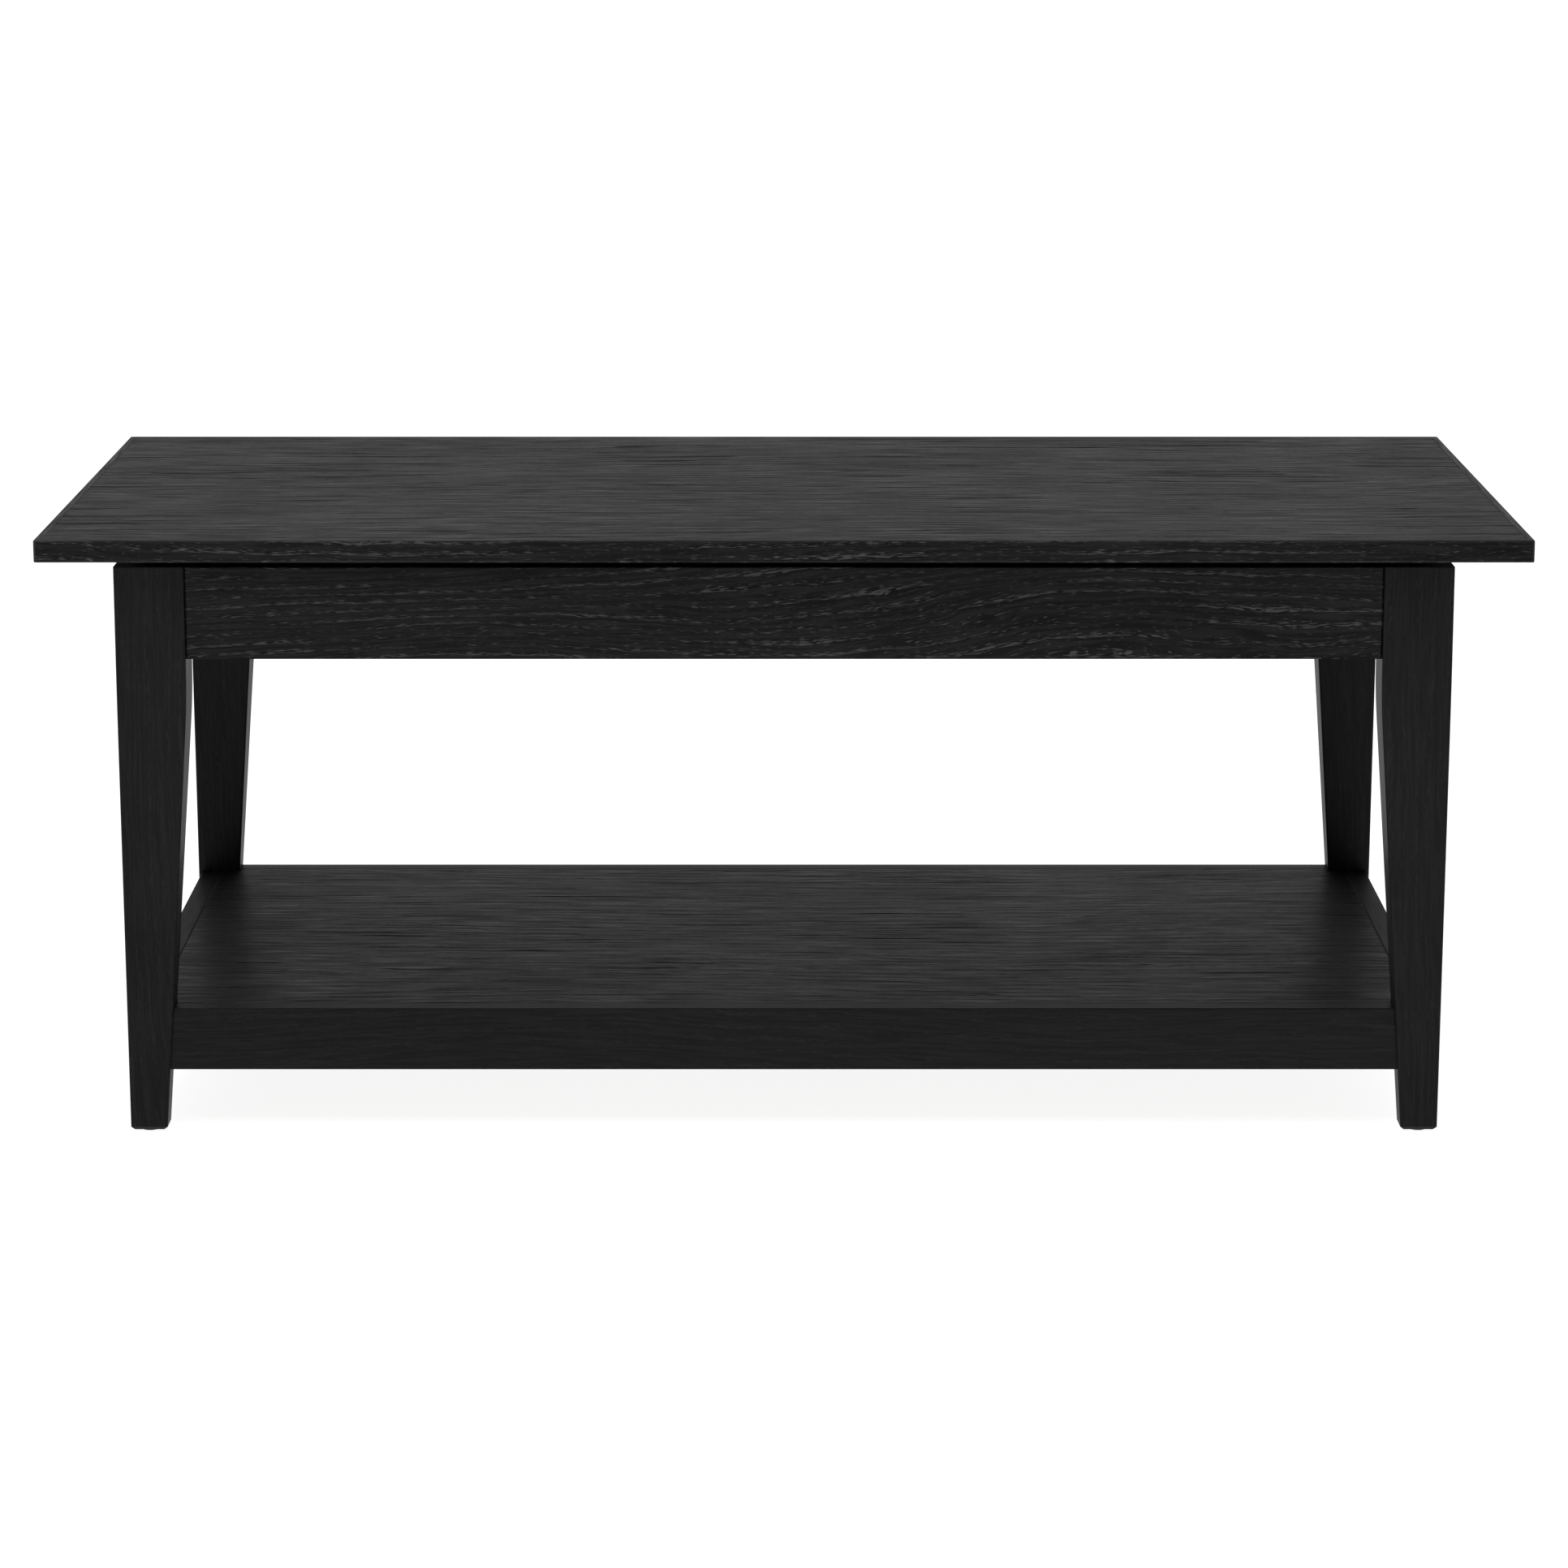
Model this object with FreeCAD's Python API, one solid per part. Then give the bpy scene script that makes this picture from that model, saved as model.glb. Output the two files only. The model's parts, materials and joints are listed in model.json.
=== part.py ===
"""Lift top coffee table: black-stained oak legs, rails and shelf, and a top that rises forward.

Frame: millimetres, +X to the sitter's right, +Y to the rear, +Z up, origin on the floor
under the middle of the table. Left and right parts are mirror images in the plane X = 0.
"""
import FreeCAD
import Part
import math
import os
from FreeCAD import Vector

# ---- driving dimensions ------------------------------------------------------------------
WIDTH = 1200.0              # top, along X
DEPTH = 600.0               # top, along Y
HEIGHT = 500.0              # floor to top surface
TOP_T = 18.0                # thickness of the top
LIPPING_W = 6.0             # solid edge strip round the top's board
ARRIS = 1.0                 # softened edges of boards
TOP_CORNER_R = 1.5          # upright corners of the top
TOP_GAP = 8.0               # shadow gap between the top and the frame

LEG_OUT_X = 540.3           # leg faces above the taper
LEG_OUT_Y = 274.0
LEG_W = 56.7
LEG_D = 45.0
LEG_KNEE = 365.0            # where the taper starts
LEG_BLEND = 22.0            # half the height of the soft bend at the knee
TAPER_OUT_X = 0.5           # how far each face has moved in at the floor
TAPER_IN_X = 26.0
TAPER_OUT_Y = 9.0
TAPER_IN_Y = 12.0
LEG_EDGE_R = 1.6
FOOT_LIFT = 1.2             # leg end above the floor, on its glide
FOOT_CHAMFER = 3.0

APRON_H = 75.5
APRON_T = 18.0
APRON_RECESS = 1.5          # apron face behind the leg face
APRON_END_EASE = 1.2        # chamfer of the apron's outer ends, a fine groove at the leg
FLOOR_T = 9.0
FLOOR_RISE = 9.0            # compartment floor above the aprons' lower edge
GROOVE_D = 6.0
BATTEN_W = 60.0
BATTEN_X = 205.0
JOINT_GAP = 0.15            # air in a dry joint, each side

SHELF_TOP = 105.0
SHELF_RAIL_H = 52.0
SHELF_RAIL_T = 18.0
SHELF_T = 16.0
SHELF_FACE_Y = 264.6        # outer face of the long shelf rails
SHELF_FACE_X = 536.6        # outer face of the end shelf rails
SEAM = 0.3                  # seam between shelf panel and rails
CLEAT = 18.0
CLEAT_X = 470.0             # half length of the cleats under the shelf

DOWEL_R = 4.0
DOWEL_L = 36.0
CAM_R = 7.5
CAM_T = 12.5
CAM_SETBACK = 34.0          # cam centre from the apron's end
CAM_BOLT_R = 3.0
CAM_BOLT_GRIP = 13.0        # how far the bolt reaches into the leg
CAM_SHARE = 0.64            # height of the cam in the apron, as a share
CAM_SLOT_W = 2.0            # cross slot in the cam's head
CAM_SLOT_DEEP = 1.5
DOWEL_SHARES = (0.42, 0.86) # heights of the apron dowels, above the floor's groove
FIT = 0.1                   # hole radius over the pin or screw in it

GLIDE_R = 8.0
GLIDE_T = 4.0
BUMPER_R = 6.0
BUMPER_H = TOP_GAP - SEAM
BUMPER_EASE = 1.5
OVERCUT = 1.0               # how far a cutting tool runs past the face it opens

# screws: countersunk in wood and flush plates, pan heads through thin steel
SCREW_R = 1.75
SCREW_HEAD_R = 3.6
PAN_R = 1.9
PAN_HEAD_R = 3.8
PAN_HEAD_H = 2.2
CROSS_REACH = 0.55          # cross slot's arm, as a share of the head's radius
CROSS_HALF_W = 0.45
CROSS_DEEP = 1.0
CLEAT_SCREW_SHARES = (-0.85, -0.3, 0.3, 0.85)   # places along half a cleat
CLEAT_SCREW_STAGGER = 0.9   # the screws into the rail sit nearer the middle
CLEAT_BITE = 10.0           # screw's hold beyond the cleat
FLOOR_BITE = 0.8            # screw's hold in the compartment floor, as a share
TOP_BITE = 0.85             # screw's hold in the top, as a share
BATTEN_SCREW_Y = (-180.0, -60.0, 60.0, 180.0)
BASE_SCREW_Y = (-160.0, -60.0, 30.0, 118.0)
BASE_SCREW_L = 14.0
ANCHOR_SCREW_Y = (16.0, 29.0)                   # behind the spring's end
CARRIER_SCREW_Y = (-132.0, -60.0, 40.0, 112.0, 182.0)
CARRIER_SCREW_IN = 0.45     # screw's place across the flange, as a share

# lifting mechanism, right-hand side
LOW_PIVOT_Y = -120.0            # rear arm on the base plate
HIGH_PIVOT_Y = -185.0           # front arm on the base plate
LOW_PIVOT_RISE = 14.0           # lower pivot over the compartment floor
PIVOT_STEP = 26.0               # how much higher the front pivot is
ARM_L = 210.0
ARM_W = 18.0
ARM_T = 4.0
OPEN_ANGLE = 130.0
PLATE_T = 2.5
PLATE_FRONT = -214.0            # base plate: ends, slope between its two heights, corner cut
PLATE_REAR = 140.0
PLATE_SLOPE = (-160.0, -88.0)
PLATE_TIP = -206.0
PLATE_TIP_CUT = 8.0
PLATE_OVER_HIGH = 12.0          # plate above the front pivot
PLATE_OVER_LOW = 14.4           # plate above the rear pivot
ARM_IN = 10.5                   # apron's inner face to the arms' inboard face
CARRIER_IN = 16.5               # to the inboard face of the carrier under the top
SPRING_IN = 26.0                # to the spring's axis
ANCHOR_IN = 35.0                # to the anchor bracket's inboard face
ANCHOR_W = 16.5
LEVER_T = 3.0
LEVER_PLAY = 0.4                # air where the lever passes the rear arm
LEVER_R = 25.0                  # spring hook below the front arm's pivot
STUD_R = 5.0
PIN_R = 4.0
RUNNING = 0.08                  # running clearance of a pivot, radial
OPEN_FIT = 0.3                  # the looser pivot that closes the linkage
SIDE_PLAY = 0.2                 # air beside a part that turns
HEAD_R = 7.0
HEAD_T = 2.0
HEAD_EASE = 0.8
CLIP_T = 1.2
CLIP_GAP = 0.2
CLIP_BORE = 4.3
CLIP_MOUTH = 0.6                # half the clip's mouth, as a share of its bore
SPRING_END_Y = 45.0
SPRING_R = 6.0
SPRING_WIRE_R = 1.1
LOOP_FIT = 0.5                  # air between an end loop and its pin
HOOK_PIN_R = 3.0
HOOK_PIN_PAST = 4.2             # pins' ends past the spring's axis
ANCHOR_PIN_PAST = 4.8
SPRING_PIN_HEAD_R = 4.05
SPRING_PIN_HEAD_T = 1.2
ANCHOR_TAB_HALF = 9.0
ANCHOR_BASE_REAR = 38.0
ANCHOR_CORNER_R = 2.0
ANCHOR_TAB_R = 8.0
STOP_R = 4.0
STOP_POST_R = 2.4
STOP_ALONG = 24.0
CARRIER_FRONT = -150.0
CARRIER_REAR = 200.0
CARRIER_FLANGE = 24.5
CARRIER_WEB = 15.0
FLANGE_CORNER_R = 8.0
WEB_CORNER_R = 9.0
LOW_EAR_HALF = 28.8             # half widths of the lugs where they leave the web
HIGH_EAR_HALF = 18.0

# ---- levels and faces that follow --------------------------------------------------------
TOP_UNDER = HEIGHT - TOP_T
FRAME_TOP = TOP_UNDER - TOP_GAP
APRON_BOTTOM = FRAME_TOP - APRON_H
FLOOR_Z = APRON_BOTTOM + FLOOR_RISE
FLOOR_TOP = FLOOR_Z + FLOOR_T
LEG_IN_X = LEG_OUT_X - LEG_W
LEG_IN_Y = LEG_OUT_Y - LEG_D
APRON_FACE_X = LEG_OUT_X - APRON_RECESS
APRON_FACE_Y = LEG_OUT_Y - APRON_RECESS
APRON_BACK_X = APRON_FACE_X - APRON_T
APRON_BACK_Y = APRON_FACE_Y - APRON_T
SHELF_BOTTOM = SHELF_TOP - SHELF_T
RAIL_BOTTOM = SHELF_TOP - SHELF_RAIL_H
PLATE_X = APRON_BACK_X - PLATE_T        # inboard faces of the mechanism's layers
ARM_X = APRON_BACK_X - ARM_IN
CARRIER_X = APRON_BACK_X - CARRIER_IN
SPRING_X = APRON_BACK_X - SPRING_IN
ANCHOR_X = APRON_BACK_X - ANCHOR_IN
ANCHOR_OUT_X = ANCHOR_X + ANCHOR_W
ARM_OUT_X = ARM_X + ARM_T
LEVER_X = ARM_X - LEVER_T
LOW_PIVOT = (LOW_PIVOT_Y, FLOOR_TOP + LOW_PIVOT_RISE)       # pivots are (y, z)
HIGH_PIVOT = (HIGH_PIVOT_Y, LOW_PIVOT[1] + PIVOT_STEP)
SPRING_Z = HIGH_PIVOT[1] - LEVER_R
EPS = 0.01

X_AXIS = Vector(1, 0, 0)
Y_AXIS = Vector(0, 1, 0)
Z_AXIS = Vector(0, 0, 1)
ORIGIN = Vector(0, 0, 0)


# ---- plain helpers -----------------------------------------------------------------------
def block(x, y, z):
    """Box from (low, high) pairs."""
    lows = [min(pair) for pair in (x, y, z)]
    sizes = [abs(pair[1] - pair[0]) for pair in (x, y, z)]
    return Part.makeBox(*sizes, Vector(*lows))


def rod(radius, start, axis, length):
    """Cylinder from a start point along an axis."""
    return Part.makeCylinder(radius, length, Vector(*start), axis)


def group(shapes):
    return Part.makeCompound(shapes)


def solids_of(shapes):
    """Every solid of the shapes, as one flat list."""
    return [solid for shape in shapes for solid in shape.Solids]


def mirror_x(shape):
    return shape.mirror(ORIGIN, X_AXIS)


def mirror_y(shape):
    return shape.mirror(ORIGIN, Y_AXIS)


def both_sides(shape):
    """The right-hand solids and their left-hand mirror images."""
    return [shape, mirror_x(shape)]


def four_corners(shape):
    """A front right piece repeated at the other three corners."""
    right = [shape, mirror_y(shape)]
    return right + [mirror_x(piece) for piece in right]


def cut_all(shape, tools):
    return shape.cut(group(tools)) if tools else shape


def straight_edges(shape, direction):
    """Edges of a solid that run along a direction."""
    chosen = []
    for edge in shape.Edges:
        if isinstance(edge.Curve, Part.Line):
            if abs(abs(edge.tangentAt(edge.FirstParameter).dot(direction)) - 1.0) < EPS:
                chosen.append(edge)
    return chosen


def soft_board(x, y, z, along, radius=ARRIS):
    """A board whose four long edges are rounded."""
    board = block(x, y, z)
    return board.makeFillet(radius, straight_edges(board, along))


def turned(shape, point, degrees):
    """A copy turned about an X axis through point = (y, z)."""
    copy = shape.copy()
    copy.rotate(Vector(0, *point), X_AXIS, degrees)
    return copy


def side_plate(points, x, thickness):
    """A sheet in the YZ plane, its inboard face at x."""
    wire = Part.makePolygon([Vector(x, y, z) for y, z in points + points[:1]])
    return Part.Face(wire).extrude(Vector(thickness, 0, 0))


def round_link(start, end, radius, x, thickness):
    """A flat bar with round ends between two (y, z) points."""
    length = math.hypot(end[0] - start[0], end[1] - start[1])
    angle = math.degrees(math.atan2(end[1] - start[1], end[0] - start[0]))
    y, z = start
    bar = block((x, x + thickness), (y, y + length), (z - radius, z + radius))
    for along in (y, y + length):
        bar = bar.fuse(rod(radius, (x, along, z), X_AXIS, thickness))
    return turned(bar.removeSplitter(), start, angle)


# ---- legs --------------------------------------------------------------------------------
def bent_side(top, knee, foot):
    """Line, parabola, line: a leg face seen edge on; the bend spans LEG_BLEND each way."""
    start = knee + (top - knee) * (LEG_BLEND / (top.z - knee.z))
    end = knee + (foot - knee) * (LEG_BLEND / (knee.z - foot.z))
    bend = Part.BezierCurve()
    bend.setPoles([start, knee, end])
    return [Part.LineSegment(top, start).toShape(),
            bend.toShape(),
            Part.LineSegment(end, foot).toShape()]


def leg_outline(outer, inner, taper_out, taper_in, place):
    """Closed face of a leg from one side; place turns (across, up) into a point."""
    foot_share = (LEG_KNEE - FOOT_LIFT) / LEG_KNEE
    foot_outer = place(outer - taper_out * foot_share, FOOT_LIFT)
    foot_inner = place(inner + taper_in * foot_share, FOOT_LIFT)
    top_outer = place(outer, FRAME_TOP)
    top_inner = place(inner, FRAME_TOP)
    outside = bent_side(top_outer, place(outer, LEG_KNEE), foot_outer)
    inside = bent_side(top_inner, place(inner, LEG_KNEE), foot_inner)
    ends = [Part.LineSegment(foot_outer, foot_inner).toShape(),
            Part.LineSegment(top_inner, top_outer).toShape()]
    return Part.Face(Part.Wire(Part.__sortEdges__(outside + inside + ends)))


def leg_blank():
    """Front right leg: the space shared by its front outline and its side outline."""
    front = leg_outline(LEG_OUT_X, LEG_IN_X, TAPER_OUT_X, TAPER_IN_X,
                        lambda x, z: Vector(x, -DEPTH, z))
    side = leg_outline(LEG_OUT_Y, LEG_IN_Y, TAPER_OUT_Y, TAPER_IN_Y,
                       lambda y, z: Vector(0, -y, z))
    return front.extrude(Vector(0, DEPTH, 0)).common(side.extrude(Vector(WIDTH, 0, 0)))


def leg():
    """The blank with a chamfered foot and softened long edges."""
    blank = leg_blank().Solids[0]
    foot_edges = [edge for edge in blank.Edges if edge.BoundBox.ZMax < FOOT_LIFT + EPS]
    chamfered = blank.makeChamfer(FOOT_CHAMFER, foot_edges)
    long_edges = [edge for edge in chamfered.Edges
                  if edge.BoundBox.ZLength > FOOT_CHAMFER * 2.0]
    return chamfered.makeFillet(LEG_EDGE_R, long_edges)


def legs():
    """The four legs, bored for dowels, cam bolts and glides."""
    blank = leg()
    bores = corner_dowels(FIT) + [corner_cam_bolt(FIT)]
    bores.append(rod(GLIDE_R + FIT, foot_centre(), Z_AXIS, GLIDE_T + FIT))
    front_right = blank.cut(group(bores))
    return {
        "leg_front_right": front_right,
        "leg_front_left": mirror_x(front_right),
        "leg_rear_right": mirror_y(front_right),
        "leg_rear_left": mirror_x(mirror_y(front_right)),
    }


def foot_centre():
    """Middle of the front right foot, on the floor."""
    x = (LEG_OUT_X - TAPER_OUT_X + LEG_IN_X + TAPER_IN_X) / 2.0
    y = (LEG_OUT_Y - TAPER_OUT_Y + LEG_IN_Y + TAPER_IN_Y) / 2.0
    return (x, -y, 0.0)


def glide():
    """Round plastic glide under a foot, its rim eased."""
    disc = rod(GLIDE_R, foot_centre(), Z_AXIS, GLIDE_T)
    rim = [edge for edge in disc.Edges if edge.BoundBox.ZMax < EPS]
    return disc.makeFillet(FOOT_LIFT / 2.0, rim)


def foot_glides():
    return group(four_corners(glide()))


# ---- joints of legs and rails ------------------------------------------------------------
def dowel(start, axis, extra):
    """One dowel centred on a joint face; extra turns it into its bore."""
    half = DOWEL_L / 2.0 + extra
    return rod(DOWEL_R + extra, Vector(*start) - axis * half, axis, half * 2.0)


def shelf_leg_section(z):
    """Inner faces (x, y) of the leg at a height below the knee."""
    share = (LEG_KNEE - z) / LEG_KNEE
    return LEG_IN_X + TAPER_IN_X * share, LEG_IN_Y + TAPER_IN_Y * share


def apron_dowel_levels():
    return [APRON_BOTTOM + APRON_H * share for share in DOWEL_SHARES]


def corner_dowels(extra=0.0):
    """Dowels of the front right corner: two in each apron joint, one in each shelf rail."""
    front_y = -(APRON_FACE_Y - APRON_T / 2.0)
    side_x = APRON_FACE_X - APRON_T / 2.0
    pins = []
    for z in apron_dowel_levels():
        pins.append(dowel((LEG_IN_X, front_y, z), X_AXIS, extra))
        pins.append(dowel((side_x, -LEG_IN_Y, z), Y_AXIS, extra))
    z = (RAIL_BOTTOM + SHELF_BOTTOM) / 2.0
    inner_x, inner_y = shelf_leg_section(z)
    pins.append(dowel((inner_x, -(SHELF_FACE_Y - SHELF_RAIL_T / 2.0), z), X_AXIS, extra))
    pins.append(dowel((SHELF_FACE_X - SHELF_RAIL_T / 2.0, -inner_y, z), Y_AXIS, extra))
    return pins


def joint_dowels():
    return group(solids_of([piece for pin in corner_dowels() for piece in four_corners(pin)]))


def cam_level():
    return APRON_BOTTOM + APRON_H * CAM_SHARE


def corner_cam_bolt(extra=0.0):
    """Bolt from the leg into the cam of the long apron."""
    y = -(APRON_FACE_Y - APRON_T / 2.0)
    start = (LEG_IN_X - CAM_SETBACK - extra, y, cam_level())
    return rod(CAM_BOLT_R + extra, start, X_AXIS, CAM_SETBACK + CAM_BOLT_GRIP + extra * 2.0)


def cam_bolts():
    return group(four_corners(corner_cam_bolt()))


def corner_cam(extra=0.0):
    """Cam disc let into the apron's inner face, with a cross slot in its head."""
    x = LEG_IN_X - CAM_SETBACK
    return rod(CAM_R + extra, (x, -APRON_BACK_Y, cam_level()), -Y_AXIS, CAM_T + extra)


def cam_locks():
    cam = corner_cam().cut(corner_cam_bolt(FIT))
    reach, half_w = CAM_R * CROSS_REACH, CAM_SLOT_W / 2.0
    x, z = LEG_IN_X - CAM_SETBACK, cam_level()
    for across, high in ((reach, half_w), (half_w, reach)):
        cam = cam.cut(block((x - across, x + across),
                            (-APRON_BACK_Y - CAM_SLOT_DEEP, -APRON_BACK_Y),
                            (z - high, z + high)))
    return group(four_corners(cam))


# ---- aprons and compartment --------------------------------------------------------------
def floor_groove():
    """Space of the compartment floor with joint clearance."""
    return block((-(APRON_BACK_X + GROOVE_D + JOINT_GAP), APRON_BACK_X + GROOVE_D + JOINT_GAP),
                 (-(APRON_BACK_Y + GROOVE_D + JOINT_GAP), APRON_BACK_Y + GROOVE_D + JOINT_GAP),
                 (FLOOR_Z - JOINT_GAP, FLOOR_TOP + JOINT_GAP))


def all_corners(shapes):
    return solids_of([piece for shape in shapes for piece in four_corners(shape)])


def apron_blank(x, y, along, outer):
    """Apron with rounded long edges; the upright edges of its outer face are chamfered."""
    board = block(x, y, (APRON_BOTTOM, FRAME_TOP))
    ends = [edge for edge in straight_edges(board, Z_AXIS)
            if abs((edge.CenterOfMass - outer).dot(Z_AXIS.cross(along))) < EPS]
    board = board.makeChamfer(APRON_END_EASE, ends)
    return board.makeFillet(ARRIS, straight_edges(board, along))


def aprons():
    """Four boards between the legs, grooved for the compartment floor."""
    end_x = LEG_IN_X - JOINT_GAP
    end_y = LEG_IN_Y - JOINT_GAP
    front = apron_blank((-end_x, end_x), (-APRON_FACE_Y, -APRON_BACK_Y), X_AXIS,
                        Vector(0, -APRON_FACE_Y, 0))
    side = apron_blank((APRON_BACK_X, APRON_FACE_X), (-end_y, end_y), Y_AXIS,
                       Vector(APRON_FACE_X, 0, 0))
    bores = all_corners(corner_dowels(FIT) + [corner_cam_bolt(FIT), corner_cam(FIT)])
    tools = [floor_groove()] + bores
    front = cut_all(front, tools)
    side = cut_all(side, tools + solids_of(base_screw_set(FIT)))
    return {
        "apron_front": front,
        "apron_rear": mirror_y(front),
        "apron_right": side,
        "apron_left": mirror_x(side),
    }


def leg_clearance(inner_x, inner_y):
    """Space that a panel leaves free round four legs with these inner faces."""
    corner = block((inner_x - SEAM, WIDTH), (-DEPTH, -inner_y + SEAM), (0.0, HEIGHT))
    return group(four_corners(corner))


def compartment_floor():
    """Thin panel in the aprons' grooves, notched round the legs."""
    x, y = APRON_BACK_X + GROOVE_D, APRON_BACK_Y + GROOVE_D
    panel = block((-x, x), (-y, y), (FLOOR_Z, FLOOR_TOP))
    panel = panel.cut(leg_clearance(LEG_IN_X, LEG_IN_Y))
    return cut_all(panel, solids_of(floor_screw_set(FIT) + batten_screw_set(FIT)))


def floor_battens():
    """Two flat battens under the floor, from apron to apron."""
    y = APRON_BACK_Y - JOINT_GAP
    battens = []
    for x in (-BATTEN_X, BATTEN_X):
        batten = soft_board((x - BATTEN_W / 2.0, x + BATTEN_W / 2.0), (-y, y),
                            (APRON_BOTTOM + JOINT_GAP, FLOOR_Z), Y_AXIS)
        battens.append(cut_all(batten, solids_of(batten_screw_set(FIT))))
    return group(battens)


# ---- shelf -------------------------------------------------------------------------------
def shelf_rails():
    """Four rails between the legs; their ends follow the legs' taper."""
    legs_solid = group(four_corners(leg_blank()))
    bores = all_corners(corner_dowels(FIT))
    bores += solids_of(cleat_screw_set(FIT))
    levels = (RAIL_BOTTOM, SHELF_TOP)
    reach_x, reach_y = LEG_IN_X + TAPER_IN_X, LEG_IN_Y + TAPER_IN_Y
    front = soft_board((-reach_x, reach_x), (-SHELF_FACE_Y, -SHELF_FACE_Y + SHELF_RAIL_T),
                       levels, X_AXIS)
    side = soft_board((SHELF_FACE_X - SHELF_RAIL_T, SHELF_FACE_X), (-reach_y, reach_y),
                      levels, Y_AXIS)
    front = cut_all(front.cut(legs_solid), bores)
    side = cut_all(side.cut(legs_solid), bores)
    return {
        "shelf_rail_front": largest(front),
        "shelf_rail_rear": mirror_y(largest(front)),
        "shelf_rail_right": largest(side),
        "shelf_rail_left": mirror_x(largest(side)),
    }


def largest(shape):
    """The biggest solid left after a cut."""
    return max(shape.Solids, key=lambda solid: solid.Volume)


def shelf_panel():
    """Veneered panel let in flush between the rails and notched round the legs."""
    x = SHELF_FACE_X - SHELF_RAIL_T - SEAM
    y = SHELF_FACE_Y - SHELF_RAIL_T - SEAM
    panel = block((-x, x), (-y, y), (SHELF_BOTTOM, SHELF_TOP))
    panel = panel.cut(leg_clearance(*shelf_leg_section(SHELF_TOP)))
    rim = [edge for edge in panel.Edges
           if abs(edge.BoundBox.ZMin - SHELF_TOP) < EPS and edge.BoundBox.ZLength < EPS]
    panel = panel.makeChamfer(SEAM, rim)
    return cut_all(panel, solids_of(cleat_screw_set(FIT)))


def shelf_cleats():
    """Square strips along the long rails that the panel lies on."""
    y = SHELF_FACE_Y - SHELF_RAIL_T
    cleat = soft_board((-CLEAT_X, CLEAT_X), (-y, -y + CLEAT),
                       (SHELF_BOTTOM - CLEAT, SHELF_BOTTOM), X_AXIS)
    cleat = cut_all(cleat, solids_of(cleat_screw_set(FIT)))
    return group([cleat, mirror_y(cleat)])


# ---- screws ------------------------------------------------------------------------------
def countersunk(head_centre, axis, length, extra=0.0):
    """Countersunk screw; head_centre is the middle of its flat head, axis points inwards."""
    start = Vector(*head_centre)
    cone = Part.makeCone(SCREW_HEAD_R + extra, SCREW_R + extra, SCREW_HEAD_R - SCREW_R, start, axis)
    screw = cone.fuse(rod(SCREW_R + extra, start, axis, length + extra)).removeSplitter()
    return screw if extra else screw.cut(cross_recess(start, axis, SCREW_HEAD_R))


def pan_head(seat, axis, length, extra=0.0):
    """Pan head screw; seat is where the head meets the plate, axis points into the wood."""
    shank = rod(PAN_R + extra, seat, axis, length + extra)
    if extra:
        return shank
    crown = Vector(*seat) - axis * PAN_HEAD_H
    head = rod(PAN_HEAD_R, crown, axis, PAN_HEAD_H)
    rim = [edge for edge in head.Edges if (edge.CenterOfMass - crown).Length < EPS]
    screw = head.makeFillet(PAN_HEAD_H / 2.0, rim).fuse(shank).removeSplitter()
    return screw.cut(cross_recess(crown, axis, PAN_HEAD_R))


def cross_recess(start, axis, head_r):
    """Cross slot in a screw head, cut from its face."""
    reach = head_r * CROSS_REACH
    turn = FreeCAD.Rotation(Z_AXIS, axis)
    arms = []
    for across, along in ((reach, CROSS_HALF_W), (CROSS_HALF_W, reach)):
        arm = block((-across, across), (-along, along), (0.0, CROSS_DEEP))
        arm.Placement = FreeCAD.Placement(start, turn)
        arms.append(arm)
    return group(arms)


def cleat_screw_set(extra=0.0):
    """Screws up through each cleat into the shelf, and across into the rail."""
    y = SHELF_FACE_Y - SHELF_RAIL_T - CLEAT / 2.0
    z_low = SHELF_BOTTOM - CLEAT
    pieces = []
    for share in CLEAT_SCREW_SHARES:
        x = CLEAT_X * share
        up = countersunk((x, -y, z_low), Z_AXIS, CLEAT + CLEAT_BITE, extra)
        across = countersunk((x * CLEAT_SCREW_STAGGER, -(y - CLEAT / 2.0), z_low + CLEAT / 2.0),
                             -Y_AXIS, CLEAT + CLEAT_BITE, extra)
        pieces += [up, mirror_y(up), across, mirror_y(across)]
    return pieces


def batten_screw_set(extra=0.0):
    """Screws up through each batten into the compartment floor."""
    pieces = []
    for x in (-BATTEN_X, BATTEN_X):
        for y in BATTEN_SCREW_Y:
            pieces.append(countersunk((x, y, APRON_BOTTOM + JOINT_GAP), Z_AXIS,
                                      FLOOR_RISE - JOINT_GAP + FLOOR_T * FLOOR_BITE, extra))
    return pieces


def base_screw_set(extra=0.0):
    """Screws through the right base plate into the side apron, heads flush."""
    return [countersunk((PLATE_X, y, LOW_PIVOT[1]), X_AXIS, BASE_SCREW_L, extra)
            for y in BASE_SCREW_Y]


def floor_screw_set(extra=0.0):
    """Short screws through the spring anchors into the compartment floor."""
    x = (ANCHOR_X + ANCHOR_OUT_X) / 2.0
    screws = []
    for behind in ANCHOR_SCREW_Y:
        screw = pan_head((x, SPRING_END_Y + behind, FLOOR_TOP + PLATE_T), -Z_AXIS,
                         PLATE_T + FLOOR_T * FLOOR_BITE, extra)
        screws += both_sides(screw)
    return screws


def carrier_screw_set(extra=0.0):
    """Screws up through the right carrier's flange into the top."""
    x = CARRIER_X - CARRIER_FLANGE * CARRIER_SCREW_IN
    return [pan_head((x, y, TOP_UNDER - PLATE_T), Z_AXIS, TOP_T * TOP_BITE, extra)
            for y in CARRIER_SCREW_Y]


def left_and_right(shapes):
    """The right-hand pieces and their left-hand mirror images, as one group."""
    return group([piece for shape in shapes for piece in both_sides(shape)])


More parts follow.
